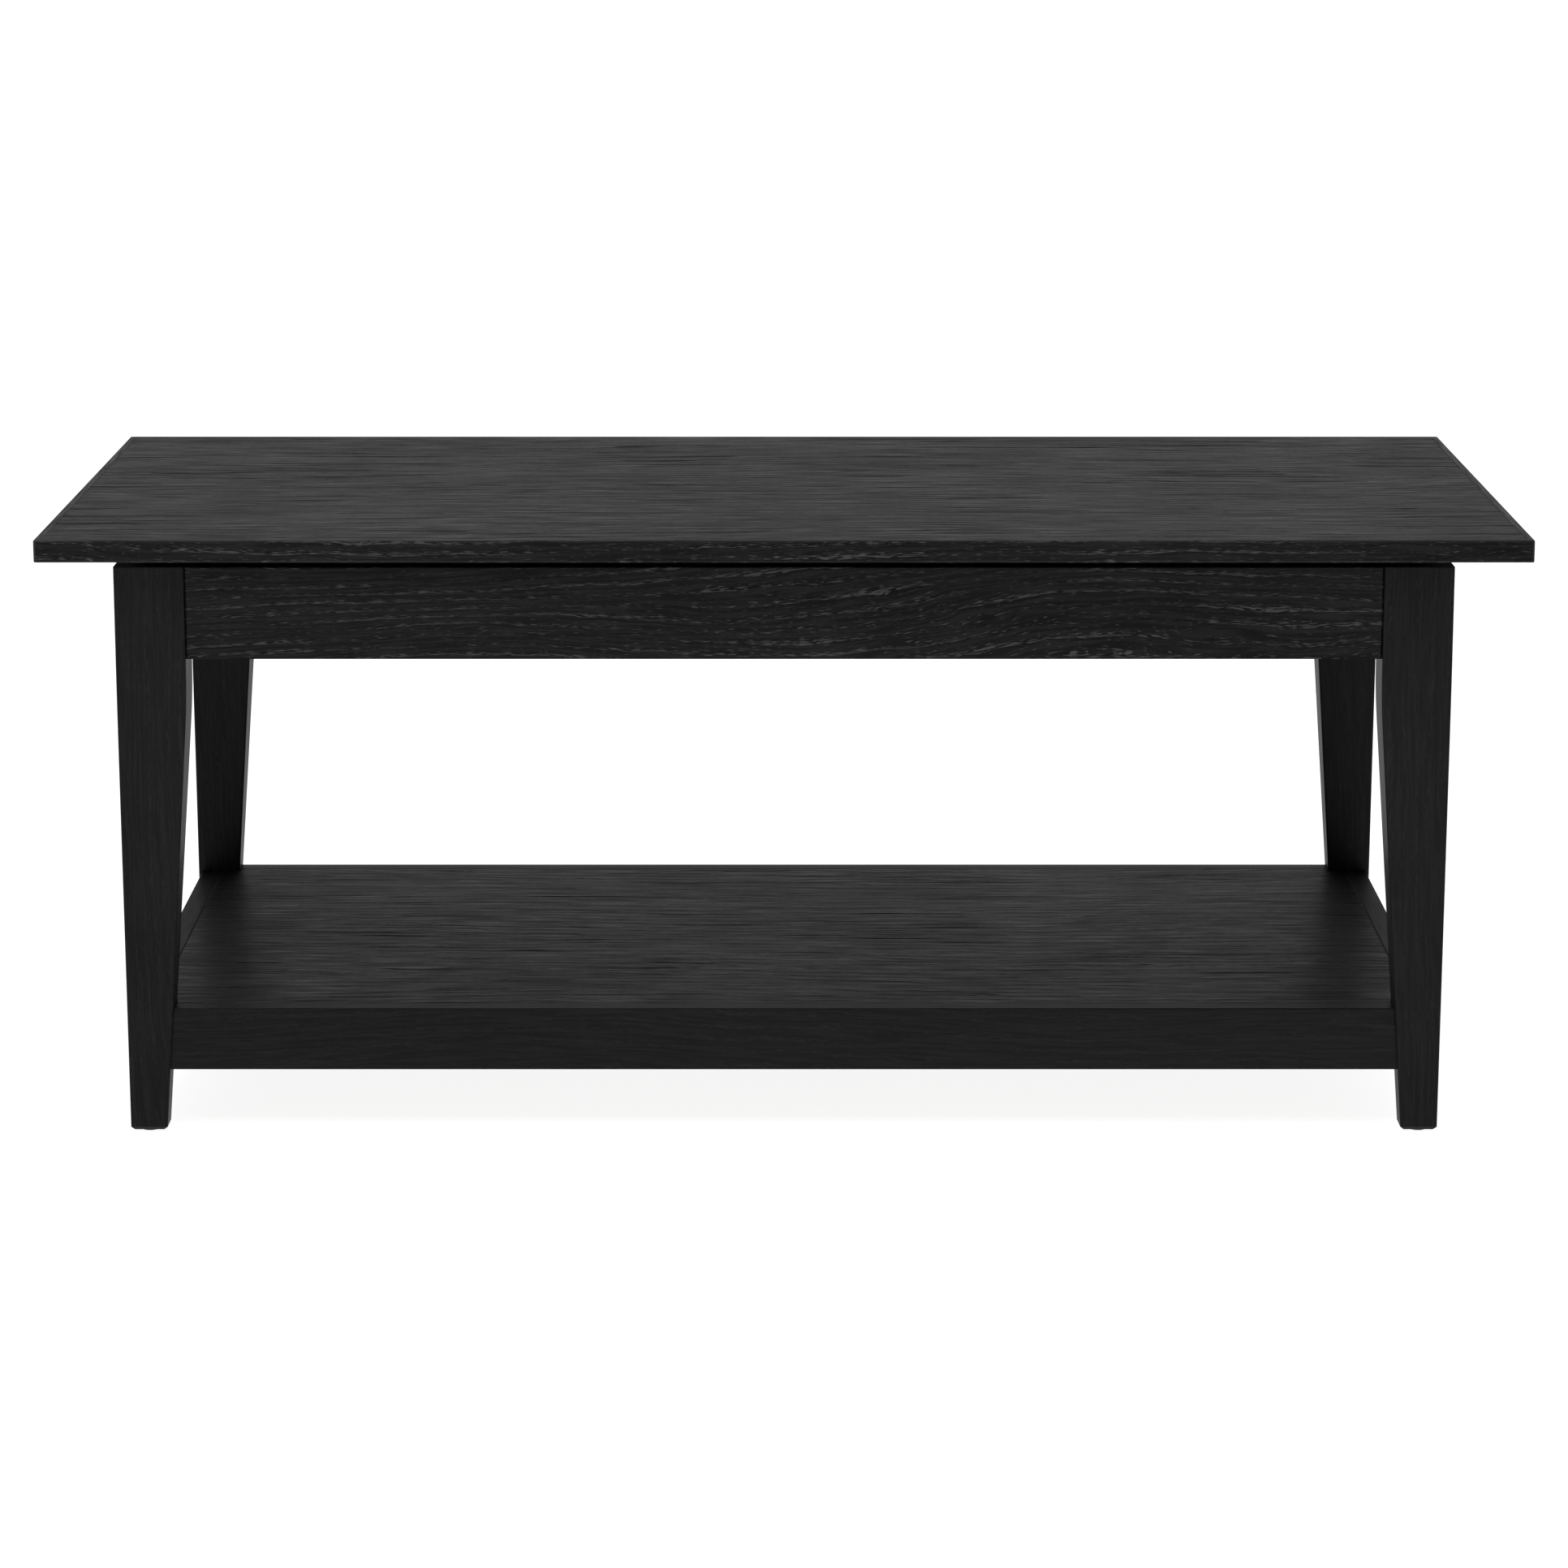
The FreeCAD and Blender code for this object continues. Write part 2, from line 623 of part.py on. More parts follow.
# ---- lifting mechanism -------------------------------------------------------------------
def pivot_bore(pivot, radius):
    """Long cylinder along X through a pivot, used as a hole."""
    return rod(radius, (0.0, *pivot), X_AXIS, WIDTH)


def swung(pivot):
    """Where the far end of an arm from this pivot lies at rest."""
    return (pivot[0] + ARM_L, pivot[1])


def stop_point():
    """Buffer centre (y, z) that the rear arm's leading edge meets when fully open."""
    angle = math.radians(OPEN_ANGLE)
    along = (math.cos(angle), math.sin(angle))
    reach = ARM_W / 2.0 + STOP_R + OPEN_FIT
    y = LOW_PIVOT[0] + along[0] * STOP_ALONG - along[1] * reach
    z = LOW_PIVOT[1] + along[1] * STOP_ALONG + along[0] * reach
    return (y, z)


def base_plate():
    """Pressed steel plate on the side apron that carries the two fixed pivots."""
    low = FLOOR_TOP + JOINT_GAP
    high = HIGH_PIVOT[1] + PLATE_OVER_HIGH
    waist = LOW_PIVOT[1] + PLATE_OVER_LOW
    slope_top, slope_end = PLATE_SLOPE
    outline = [(PLATE_FRONT, low), (PLATE_REAR, low), (PLATE_REAR, waist), (slope_end, waist),
               (slope_top, high), (PLATE_TIP, high), (PLATE_FRONT, high - PLATE_TIP_CUT)]
    plate = side_plate(outline, PLATE_X, PLATE_T)
    return cut_all(plate, solids_of(base_screw_set(FIT)))


def pivot_stud(pivot, inboard):
    """Fixed stud with a groove for its clip, ending inboard of the parts it carries."""
    end = inboard - CLIP_GAP - CLIP_T * 2.0
    stud = rod(STUD_R, (end, *pivot), X_AXIS, PLATE_X - end)
    groove_x = inboard - CLIP_GAP - CLIP_T - FIT / 2.0
    return stud.cut(ring(pivot, groove_x, groove_x + CLIP_T + FIT, STUD_R + OVERCUT, CLIP_BORE - FIT))


def pivot_clip(pivot, inboard):
    """Spring steel C clip in the stud's groove."""
    x = inboard - CLIP_GAP - CLIP_T
    half_mouth = CLIP_BORE * CLIP_MOUTH
    mouth = block((x - OVERCUT, x + CLIP_T + OVERCUT),
                  (pivot[0] - half_mouth, pivot[0] + half_mouth),
                  (pivot[1] - HEAD_R - OVERCUT, pivot[1]))
    return ring(pivot, x, x + CLIP_T, HEAD_R, CLIP_BORE).cut(mouth)


def ring(pivot, low_x, high_x, outer, inner):
    """Flat ring or tube about an X axis through a pivot."""
    disc = rod(outer, (low_x, *pivot), X_AXIS, high_x - low_x)
    return disc.cut(rod(inner, (low_x, *pivot), X_AXIS, high_x - low_x))


def fixed_pivots():
    """(pivot, inboard face of what it carries) for the two studs."""
    return ((LOW_PIVOT, ARM_X), (HIGH_PIVOT, LEVER_X))


def pivot_studs():
    return left_and_right([pivot_stud(*place) for place in fixed_pivots()])


def pivot_clips():
    return left_and_right([pivot_clip(*place) for place in fixed_pivots()])


def pivot_washers():
    """Nylon washers between the base plate and the arms."""
    rings = [ring(pivot, ARM_OUT_X + SIDE_PLAY, PLATE_X, ARM_W / 2.0, STUD_R + FIT)
             for pivot, _ in fixed_pivots()]
    return left_and_right(rings)


def arm(pivot, inboard):
    """Flat bar with round ends, bored for its stud and its link pin."""
    bar = round_link(pivot, swung(pivot), ARM_W / 2.0, inboard, ARM_OUT_X - inboard)
    bar = bar.cut(pivot_bore(pivot, STUD_R + RUNNING))
    return bar.cut(pivot_bore(swung(pivot), PIN_R + FIT))


def link_pin(pivot):
    """Rivet fixed in the arm's far end; the carrier turns on it."""
    shank_end = CARRIER_X - SIDE_PLAY - HEAD_T
    shank = rod(PIN_R, (shank_end, *pivot), X_AXIS, ARM_OUT_X - shank_end)
    outer = rod(HEAD_R, (ARM_OUT_X, *pivot), X_AXIS, HEAD_T)
    inner = rod(HEAD_R, (shank_end, *pivot), X_AXIS, HEAD_T)
    return eased_pin(outer.fuse(shank).fuse(inner).removeSplitter(), shank_end, ARM_OUT_X + HEAD_T)


def eased_pin(pin, *faces_x):
    """Round the outer rims of a pin's heads."""
    rims = [edge for edge in pin.Edges
            if any(abs(edge.CenterOfMass.x - x) < EPS for x in faces_x)]
    return pin.makeFillet(HEAD_EASE, rims)


def link_washer(pivot):
    """Nylon washer between an arm and the carrier."""
    return ring(pivot, CARRIER_X + PLATE_T + SIDE_PLAY, ARM_X, HEAD_R, PIN_R + FIT)


def lever():
    """Short lever welded to the front arm, down to the spring's hook pin."""
    bar = round_link(HIGH_PIVOT, (HIGH_PIVOT[0], SPRING_Z), HEAD_R, LEVER_X, LEVER_T)
    bar = bar.cut(pivot_bore(HIGH_PIVOT, STUD_R + FIT))
    return bar.cut(pivot_bore((HIGH_PIVOT[0], SPRING_Z), HOOK_PIN_R + FIT))


def spring_pin(y, low_x, high_x, head_low_x):
    """Pin across the mechanism that a spring's end loop turns on."""
    pivot = (y, SPRING_Z)
    shank = rod(HOOK_PIN_R, (low_x, *pivot), X_AXIS, high_x - low_x)
    head = rod(SPRING_PIN_HEAD_R, (head_low_x, *pivot), X_AXIS, SPRING_PIN_HEAD_T)
    return shank.fuse(head).removeSplitter()


def hook_pin():
    end = SPRING_X - HOOK_PIN_PAST
    return spring_pin(HIGH_PIVOT[0], end, ARM_X, end)


def anchor_pin():
    end = SPRING_X + ANCHOR_PIN_PAST
    return spring_pin(SPRING_END_Y, ANCHOR_X + PLATE_T, end, end)


def spring_anchor():
    """Small angle bracket on the compartment floor, its tab outside the spring."""
    front, rear = SPRING_END_Y - ANCHOR_TAB_HALF, SPRING_END_Y + ANCHOR_TAB_HALF
    base = block((ANCHOR_X, ANCHOR_OUT_X), (front, SPRING_END_Y + ANCHOR_BASE_REAR),
                 (FLOOR_TOP, FLOOR_TOP + PLATE_T))
    tab = block((ANCHOR_X, ANCHOR_X + PLATE_T), (front, rear),
                (FLOOR_TOP, SPRING_Z + ANCHOR_TAB_HALF))
    corners = straight_edges(base, Z_AXIS)
    tab_corners = [edge for edge in straight_edges(tab, X_AXIS)
                   if edge.CenterOfMass.z > FLOOR_TOP + EPS]
    bracket = base.makeFillet(ANCHOR_CORNER_R, corners[1:])
    bracket = bracket.fuse(tab.makeFillet(ANCHOR_TAB_R, tab_corners))
    return cut_all(bracket.removeSplitter(), solids_of(floor_screw_set(FIT)))


def spring():
    """Extension spring as a plain tube with an end loop round each pin."""
    loop_r = HOOK_PIN_R + SPRING_WIRE_R + LOOP_FIT
    loops = []
    for y in (HIGH_PIVOT[0], SPRING_END_Y):
        loops.append(Part.makeTorus(loop_r, SPRING_WIRE_R, Vector(SPRING_X, y, SPRING_Z), X_AXIS))
    start = HIGH_PIVOT[0] + loop_r
    length = SPRING_END_Y - loop_r - start
    coil = ring((0.0, 0.0), 0.0, length, SPRING_R, SPRING_R - SPRING_WIRE_R * 2.0)
    coil.rotate(ORIGIN, Z_AXIS, 90.0)
    coil.translate(Vector(SPRING_X, start, SPRING_Z))
    caps = [Part.makeCylinder(SPRING_R, SPRING_WIRE_R, Vector(SPRING_X, y, SPRING_Z), Y_AXIS)
            for y in (start, start + length - SPRING_WIRE_R)]
    return coil.fuse(loops + caps)


def stop_post():
    return rod(STOP_POST_R, (ARM_X, *stop_point()), X_AXIS, PLATE_X - ARM_X)


def stop_buffer():
    """Rubber sleeve on the post, where the rear arm comes to rest."""
    return ring(stop_point(), ARM_X + SIDE_PLAY, PLATE_X - SIDE_PLAY, STOP_R,
                STOP_POST_R + FIT / 2.0)


def carrier_ear(pivot, half_base):
    """Lug of the carrier plate that reaches down to a moving pivot."""
    y, z = pivot
    radius = ARM_W / 2.0
    root = TOP_UNDER - CARRIER_WEB
    boss = rod(radius, (CARRIER_X, y, z), X_AXIS, PLATE_T)
    web = side_plate([(y - half_base, root + PLATE_T), (y + half_base, root + PLATE_T),
                      (y + radius, z), (y - radius, z)], CARRIER_X, PLATE_T)
    return boss.fuse(web)


def carrier():
    """Angle section under the top: flange against the board, plate with two lugs."""
    span = (CARRIER_FRONT, CARRIER_REAR)
    flange = block((CARRIER_X - CARRIER_FLANGE + PLATE_T, CARRIER_X + PLATE_T), span,
                   (TOP_UNDER - PLATE_T, TOP_UNDER))
    inner = [edge for edge in straight_edges(flange, Z_AXIS) if edge.CenterOfMass.x < CARRIER_X]
    plate = block((CARRIER_X, CARRIER_X + PLATE_T), span, (TOP_UNDER - CARRIER_WEB, TOP_UNDER))
    ends = [edge for edge in straight_edges(plate, X_AXIS)
            if edge.CenterOfMass.z < TOP_UNDER - PLATE_T]
    low_end, high_end = swung(LOW_PIVOT), swung(HIGH_PIVOT)
    body = flange.makeFillet(FLANGE_CORNER_R, inner)
    body = body.fuse([plate.makeFillet(WEB_CORNER_R, ends),
                      carrier_ear(low_end, LOW_EAR_HALF), carrier_ear(high_end, HIGH_EAR_HALF)])
    body = body.removeSplitter().cut(pivot_bore(low_end, PIN_R + RUNNING))
    body = body.cut(pivot_bore(high_end, PIN_R + OPEN_FIT))
    return cut_all(body, solids_of(carrier_screw_set(FIT)))


def mechanism():
    """Every piece of the lifting mechanism; sided pieces are separate nodes."""
    nodes = {}
    sided = {
        "base_plate": base_plate(),
        "rear_arm": arm(LOW_PIVOT, ARM_X + LEVER_PLAY),
        "front_arm": arm(HIGH_PIVOT, ARM_X),
        "spring_lever": lever(),
        "spring_anchor": spring_anchor(),
        "lift_spring": spring(),
        "top_carrier": carrier(),
    }
    for name, shape in sided.items():
        nodes[name + "_right"] = shape
        nodes[name + "_left"] = mirror_x(shape)
    nodes["pivot_studs"] = pivot_studs()
    nodes["pivot_clips"] = pivot_clips()
    nodes["pivot_washers"] = pivot_washers()
    nodes["stop_posts"] = left_and_right([stop_post()])
    nodes["stop_buffers"] = left_and_right([stop_buffer()])
    for name, pivot in (("rear", LOW_PIVOT), ("front", HIGH_PIVOT)):
        nodes[name + "_link_pins"] = left_and_right([link_pin(swung(pivot))])
        nodes[name + "_link_washers"] = left_and_right([link_washer(swung(pivot))])
    nodes["spring_hook_pins"] = left_and_right([hook_pin()])
    nodes["spring_anchor_pins"] = left_and_right([anchor_pin()])
    nodes["base_screws"] = left_and_right(base_screw_set())
    nodes["anchor_screws"] = group(floor_screw_set())
    nodes["carrier_screws"] = left_and_right(carrier_screw_set())
    return nodes


# ---- top ---------------------------------------------------------------------------------
def top_slab():
    """The whole top with its arrises eased all round."""
    slab = block((-WIDTH / 2.0, WIDTH / 2.0), (-DEPTH / 2.0, DEPTH / 2.0), (TOP_UNDER, HEIGHT))
    slab = slab.makeFillet(TOP_CORNER_R, straight_edges(slab, Z_AXIS))
    rims = [edge for edge in slab.Edges if edge.BoundBox.ZLength < EPS]
    return slab.makeFillet(ARRIS, rims)


def lipping_space(half_long, half_wide):
    """Mitred space of the lipping on the +Y side of a top of these half sizes."""
    inner_x, inner_y = half_long - LIPPING_W, half_wide - LIPPING_W
    outer_x, outer_y = half_long + OVERCUT, half_wide + OVERCUT
    corners = [(-inner_x, inner_y), (inner_x, inner_y), (outer_x, outer_y), (-outer_x, outer_y)]
    points = [Vector(x, y, TOP_UNDER - OVERCUT) for x, y in corners]
    face = Part.Face(Part.makePolygon(points + points[:1]))
    return face.extrude(Vector(0, 0, TOP_T + OVERCUT * 2.0))


def top_parts():
    """Veneered board and its four solid lippings."""
    slab = top_slab()
    rear = lipping_space(WIDTH / 2.0, DEPTH / 2.0)
    side = lipping_space(DEPTH / 2.0, WIDTH / 2.0)
    side.rotate(ORIGIN, Z_AXIS, -90.0)
    board = block((-WIDTH / 2.0 + LIPPING_W, WIDTH / 2.0 - LIPPING_W),
                  (-DEPTH / 2.0 + LIPPING_W, DEPTH / 2.0 - LIPPING_W), (TOP_UNDER, HEIGHT))
    rear_strip = slab.common(rear)
    right_strip = slab.common(side)
    screws = solids_of([piece for screw in carrier_screw_set(FIT) for piece in both_sides(screw)])
    return {
        "top_board": cut_all(board, screws),
        "top_lipping_rear": rear_strip,
        "top_lipping_front": mirror_y(rear_strip),
        "top_lipping_right": right_strip,
        "top_lipping_left": mirror_x(right_strip),
    }


def top_bumpers():
    """Rubber bumpers on the leg tops that the closed top settles on."""
    x = LEG_OUT_X - LEG_W / 2.0
    y = LEG_OUT_Y - LEG_D / 2.0
    bumper = rod(BUMPER_R, (x, -y, FRAME_TOP), Z_AXIS, BUMPER_H)
    rim = [edge for edge in bumper.Edges if edge.BoundBox.ZMin > FRAME_TOP + BUMPER_H - EPS]
    return group(four_corners(bumper.makeFillet(BUMPER_EASE, rim)))


# ---- all nodes ---------------------------------------------------------------------------
def all_nodes():
    nodes = {}
    for parts in (legs(), aprons(), shelf_rails(), mechanism(), top_parts()):
        nodes.update(parts)
    nodes["foot_glides"] = foot_glides()
    nodes["joint_dowels"] = joint_dowels()
    nodes["cam_bolts"] = cam_bolts()
    nodes["cam_locks"] = cam_locks()
    nodes["compartment_floor"] = compartment_floor()
    nodes["floor_battens"] = floor_battens()
    nodes["batten_screws"] = group(batten_screw_set())
    nodes["shelf_panel"] = shelf_panel()
    nodes["shelf_cleats"] = shelf_cleats()
    nodes["cleat_screws"] = group(cleat_screw_set())
    nodes["top_bumpers"] = top_bumpers()
    return nodes


def main():
    os.makedirs("parts", exist_ok=True)
    for name, shape in all_nodes().items():
        shape.exportStep("parts/" + name + ".step")


main()
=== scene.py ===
"""Looks of the lift top coffee table: stained oak, lifting hardware, springs and a pale studio.

Laid out as a Blender add-on. Metres, +Z up, origin on the floor under the middle of the table.
"""
import json
import math
from collections import namedtuple
import bpy
import numpy as np
from bpy.props import FloatProperty, FloatVectorProperty, IntProperty, PointerProperty
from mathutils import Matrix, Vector


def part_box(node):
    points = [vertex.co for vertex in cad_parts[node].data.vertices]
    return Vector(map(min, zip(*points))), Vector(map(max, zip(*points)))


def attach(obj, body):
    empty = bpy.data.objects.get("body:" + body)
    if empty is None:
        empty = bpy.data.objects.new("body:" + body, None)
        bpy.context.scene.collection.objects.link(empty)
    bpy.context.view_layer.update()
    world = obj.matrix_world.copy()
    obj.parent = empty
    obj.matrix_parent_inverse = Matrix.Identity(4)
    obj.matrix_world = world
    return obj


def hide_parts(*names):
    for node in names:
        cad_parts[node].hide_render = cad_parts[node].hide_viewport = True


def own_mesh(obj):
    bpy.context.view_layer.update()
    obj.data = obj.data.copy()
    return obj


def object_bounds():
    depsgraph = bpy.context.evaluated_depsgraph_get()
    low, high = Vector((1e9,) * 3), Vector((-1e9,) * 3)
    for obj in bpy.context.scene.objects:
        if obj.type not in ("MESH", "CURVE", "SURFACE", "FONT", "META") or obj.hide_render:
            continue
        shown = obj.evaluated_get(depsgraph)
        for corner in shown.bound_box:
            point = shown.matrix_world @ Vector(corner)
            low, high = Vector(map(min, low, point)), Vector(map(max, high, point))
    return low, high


bl_info = {
    "name": "Lift top coffee table",
    "version": (1, 0, 0),
    "blender": (4, 5, 0),
    "location": "3D View > Sidebar > Coffee table",
    "description": "Finishes, springs and studio for a black-stained lift top coffee table",
    "category": "Object",
}

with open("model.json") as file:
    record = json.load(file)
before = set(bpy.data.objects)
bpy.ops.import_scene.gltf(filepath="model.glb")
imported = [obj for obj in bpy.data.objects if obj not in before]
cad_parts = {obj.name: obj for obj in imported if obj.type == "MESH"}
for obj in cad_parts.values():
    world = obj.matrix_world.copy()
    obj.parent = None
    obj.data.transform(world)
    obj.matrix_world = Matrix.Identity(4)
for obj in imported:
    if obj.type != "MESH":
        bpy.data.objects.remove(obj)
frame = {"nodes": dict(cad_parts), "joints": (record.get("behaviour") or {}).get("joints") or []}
cad_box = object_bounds()

# pieces that share a finish, by the direction of their grain
LIPPING_LONG = ("top_lipping_front", "top_lipping_rear")
LIPPING_SHORT = ("top_lipping_left", "top_lipping_right")
APRON_LONG = ("apron_front", "apron_rear")
APRON_SHORT = ("apron_left", "apron_right")
RAIL_LONG = ("shelf_rail_front", "shelf_rail_rear")
RAIL_SHORT = ("shelf_rail_left", "shelf_rail_right")
LEGS = ("leg_front_left", "leg_front_right", "leg_rear_left", "leg_rear_right")
STEEL_NODES = ("base_plate_left", "base_plate_right", "rear_arm_left", "rear_arm_right",
               "front_arm_left", "front_arm_right", "spring_lever_left", "spring_lever_right",
               "spring_anchor_left", "spring_anchor_right",
               "top_carrier_left", "top_carrier_right")
PLATED_NODES = ("pivot_studs", "pivot_clips", "rear_link_pins", "front_link_pins",
                "spring_hook_pins", "spring_anchor_pins", "stop_posts")
SCREW_NODES = ("base_screws", "anchor_screws", "carrier_screws", "batten_screws",
               "cleat_screws", "cam_bolts", "cam_locks")
RUBBER_NODES = ("top_bumpers", "stop_buffers")
WASHER_NODES = ("pivot_washers", "rear_link_washers", "front_link_washers")
BATTEN_NODES = ("floor_battens",)
CLEAT_NODES = ("shelf_cleats", "joint_dowels")

# turns that bring a board's grain direction onto X
GRAIN_TURN = {
    "X": (0.0, 0.0, 0.0),
    "Y": (0.0, 0.0, -math.pi / 2.0),
    "Z": (0.0, math.pi / 2.0, 0.0),
}


# ---- sizes and colours a user can change --------------------------------------------------
def colour_property(name, description, default):
    return FloatVectorProperty(name=name, description=description, default=default,
                               size=3, min=0.0, max=1.0, subtype="COLOR")


def share_property(name, description, default):
    return FloatProperty(name=name, description=description, default=default,
                         min=0.0, max=1.0, subtype="FACTOR")


class OakFinish(bpy.types.PropertyGroup):
    """Black stain under a dull clear finish, on open-pored oak."""
    stain: colour_property("Stain", "Colour of the stained wood", (0.0038, 0.0038, 0.0038))
    late_wood: colour_property("Late wood", "Paler bands between the pores",
                               (0.0085, 0.0084, 0.0083))
    # dark pores and dark streaks in the stain; the same colour is also painted shade along the
    # arrises of the legs, aprons and rails and along the top board's seam with the lippings
    dark_stain_and_edge_shade: colour_property("Pores from above", "Stain gathered in the pores of level faces",
                                (0.0008, 0.0008, 0.0008))
    # painted highlight: pale pore rims that stand in for light caught by the pores of upright
    # pieces
    painted_pore_highlight: colour_property("Pores from the side", "Rims of the pores on upright faces",
                              (0.0560, 0.0560, 0.0560))
    # stain worn thin on the arrises, and also a painted highlight along the arrises of the
    # lippings and the shelf panel
    rubbed_and_highlight: colour_property("Edge wear and painted edge light", "Stain worn thin on the arrises",
                            (0.0620, 0.0610, 0.0595))
    ring_width: FloatProperty(name="Ring width", description="Distance between growth rings",
                              default=0.0075, min=0.001, unit="LENGTH")
    wander: FloatProperty(name="Wander", description="How far the rings stray across a board",
                          default=0.13, min=0.0, unit="LENGTH")
    roughness: share_property("Wood roughness", "Dullness of the wood under the film", 0.6)
    bare_gloss: share_property("Wood gloss", "Reflection of the wood itself", 0.05)
    film: share_property("Film", "Strength of the clear film's reflection", 0.175)
    film_roughness: share_property("Film roughness", "Dullness of the clear film", 0.31)


class HardwareFinish(bpy.types.PropertyGroup):
    """Steel, rubber, plastic and hidden wood."""
    powder: colour_property("Powder coat", "Black coat of the pressed steel",
                            (0.019, 0.019, 0.020))
    powder_rubbed: colour_property("Rubbed coat", "Edges of the steel", (0.10, 0.10, 0.10))
    zinc: colour_property("Zinc", "Bright plated pins, screws and springs",
                          (0.560, 0.565, 0.575))
    zinc_tint: colour_property("Zinc tint", "Faint tint of the plating", (0.520, 0.500, 0.420))
    rubber: colour_property("Rubber", "Bumpers and stop sleeves", (0.021, 0.020, 0.019))
    nylon: colour_property("Nylon", "Pivot washers", (0.620, 0.600, 0.530))
    glide: colour_property("Glides", "Plastic glides under the feet", (0.030, 0.030, 0.031))
    board: colour_property("Faced board", "Compartment floor", (0.022, 0.022, 0.023))
    softwood: colour_property("Softwood", "Battens, cleats and dowels", (0.430, 0.290, 0.160))
    softwood_line: colour_property("Softwood rings", "Darker rings in the softwood",
                                   (0.300, 0.165, 0.072))


class SpringShape(bpy.types.PropertyGroup):
    """The pair of extension springs that hold the top up."""
    wire: FloatProperty(name="Wire", description="Diameter of the wire", default=0.0022,
                        min=0.0005, unit="LENGTH")
    turns: IntProperty(name="Turns", description="Whole turns of the coil", default=86, min=4)
    loop: FloatProperty(name="End loop", description="Radius of the end loops' centre line",
                        default=0.0046, min=0.001, unit="LENGTH")
    loop_gap: FloatProperty(name="Loop gap", description="Angle left open in each end loop",
                            default=math.radians(40.0), unit="ROTATION")
    steps_per_turn: IntProperty(name="Steps", description="Segments in one turn", default=24,
                                min=8)
    sides: IntProperty(name="Sides", description="Segments round the wire", default=8, min=5)
    shortened: share_property("Shortened", "Length left when the top is up", 0.934)


class StudioSet(bpy.types.PropertyGroup):
    """Pale floor, soft light and the camera."""
    floor: colour_property("Floor", "Colour of the floor", (0.42, 0.42, 0.42))
    floor_half: FloatProperty(name="Floor reach", description="Half the side of the floor",
                              default=60.0, min=5.0, unit="LENGTH")
    floor_glow: share_property("Floor glow", "Light that comes through the floor", 0.90)
    overhead: FloatProperty(name="Overhead", description="Brightness straight above",
                            default=0.45, min=0.0)
    horizon: FloatProperty(name="Horizon", description="Brightness of the walls of the room",
                           default=0.298, min=0.0)
    rear_share: share_property("Rear light", "How much of the walls' light is behind", 0.9)
    backdrop: FloatProperty(name="Backdrop", description="Brightness of the wall as it is seen",
                            default=1.0, min=0.0)
    key_power: FloatProperty(name="Key light", description="Power of the overhead softbox",
                             default=36.0, min=0.0, unit="POWER")
    key_size: FloatProperty(name="Key size", description="Side of the overhead softbox",
                            default=1.8, min=0.1, unit="LENGTH")
    camera_back: FloatProperty(name="Camera distance", description="In front of the middle",
                               default=4.161, min=1.0, unit="LENGTH")
    camera_height: FloatProperty(name="Camera height", description="Above the floor",
                                 default=1.1222, min=0.1, unit="LENGTH")
    camera_tilt: FloatProperty(name="Camera tilt", description="Down from level",
                               default=math.radians(12.004), unit="ROTATION")
    lens: FloatProperty(name="Lens", description="Focal length in millimetres", default=112.31,
                        min=10.0)


# ---- node helpers -------------------------------------------------------------------------
MIX_FACTOR, MIX_FIRST, MIX_SECOND, MIX_RESULT = 0, 6, 7, 2      # colour sockets of a Mix node


def add(tree, kind, inputs=None, **settings):
    """A new node: its settings, then its inputs as values or as sockets to link from."""
    node = tree.nodes.new(kind)
    for key, value in settings.items():
        setattr(node, key, value)
    for key, value in (inputs or {}).items():
        if isinstance(value, bpy.types.NodeSocket):
            tree.links.new(value, node.inputs[key])
        else:
            node.inputs[key].default_value = value
    return node


def maths(tree, operation, *values):
    return add(tree, "ShaderNodeMath", dict(enumerate(values)), operation=operation).outputs[0]


def times(tree, first, second):
    return maths(tree, "MULTIPLY", first, second)


def plus(tree, value, mask, share):
    """The value and this share of the mask."""
    return maths(tree, "MULTIPLY_ADD", mask, share, value)


def dimmed(tree, value, mask, share):
    """The value, with this share of it taken away where the mask is full."""
    return times(tree, value, plus(tree, 1.0, mask, -share))


def spread(tree, value, low, high, to_low=0.0, to_high=1.0):
    """Smooth change from to_low to to_high as the value goes from low to high."""
    inputs = {"Value": value, "From Min": low, "From Max": high,
              "To Min": to_low, "To Max": to_high}
    return add(tree, "ShaderNodeMapRange", inputs, interpolation_type="SMOOTHSTEP").outputs[0]


def mix(tree, factor, first, second):
    """Colour that goes from the first to the second; each is a socket or three channels."""
    first, second = (end if isinstance(end, bpy.types.NodeSocket) else (*end, 1.0)
                     for end in (first, second))
    inputs = {MIX_FACTOR: factor, MIX_FIRST: first, MIX_SECOND: second}
    return add(tree, "ShaderNodeMix", inputs, data_type="RGBA").outputs[MIX_RESULT]


def scaled(colour, factor):
    """The colour's channels times the factor, up to white."""
    return tuple(min(1.0, channel * factor) for channel in colour)


def cells(tree, vector, along, across, detail):
    """Noise whose blotches are this long and this wide, in metres."""
    scale = (1.0 / along, 1.0 / across, 1.0 / across)
    mapped = add(tree, "ShaderNodeMapping", {"Vector": vector, "Scale": scale})
    noise = add(tree, "ShaderNodeTexNoise", {"Vector": mapped.outputs[0], "Scale": 1.0,
                                             "Detail": detail, "Roughness": 0.55})
    return noise.outputs[0]


def new_group(name, inputs, outputs):
    """A shader node group with its named sockets; gives the group and its two end nodes."""
    group = bpy.data.node_groups.new(name, "ShaderNodeTree")
    for label, kind, default in inputs:
        socket = group.interface.new_socket(label, in_out="INPUT", socket_type=kind)
        if default is not None:
            socket.default_value = default
    for label in outputs:
        group.interface.new_socket(label, in_out="OUTPUT", socket_type="NodeSocketFloat")
    return group, group.nodes.new("NodeGroupInput"), group.nodes.new("NodeGroupOutput")


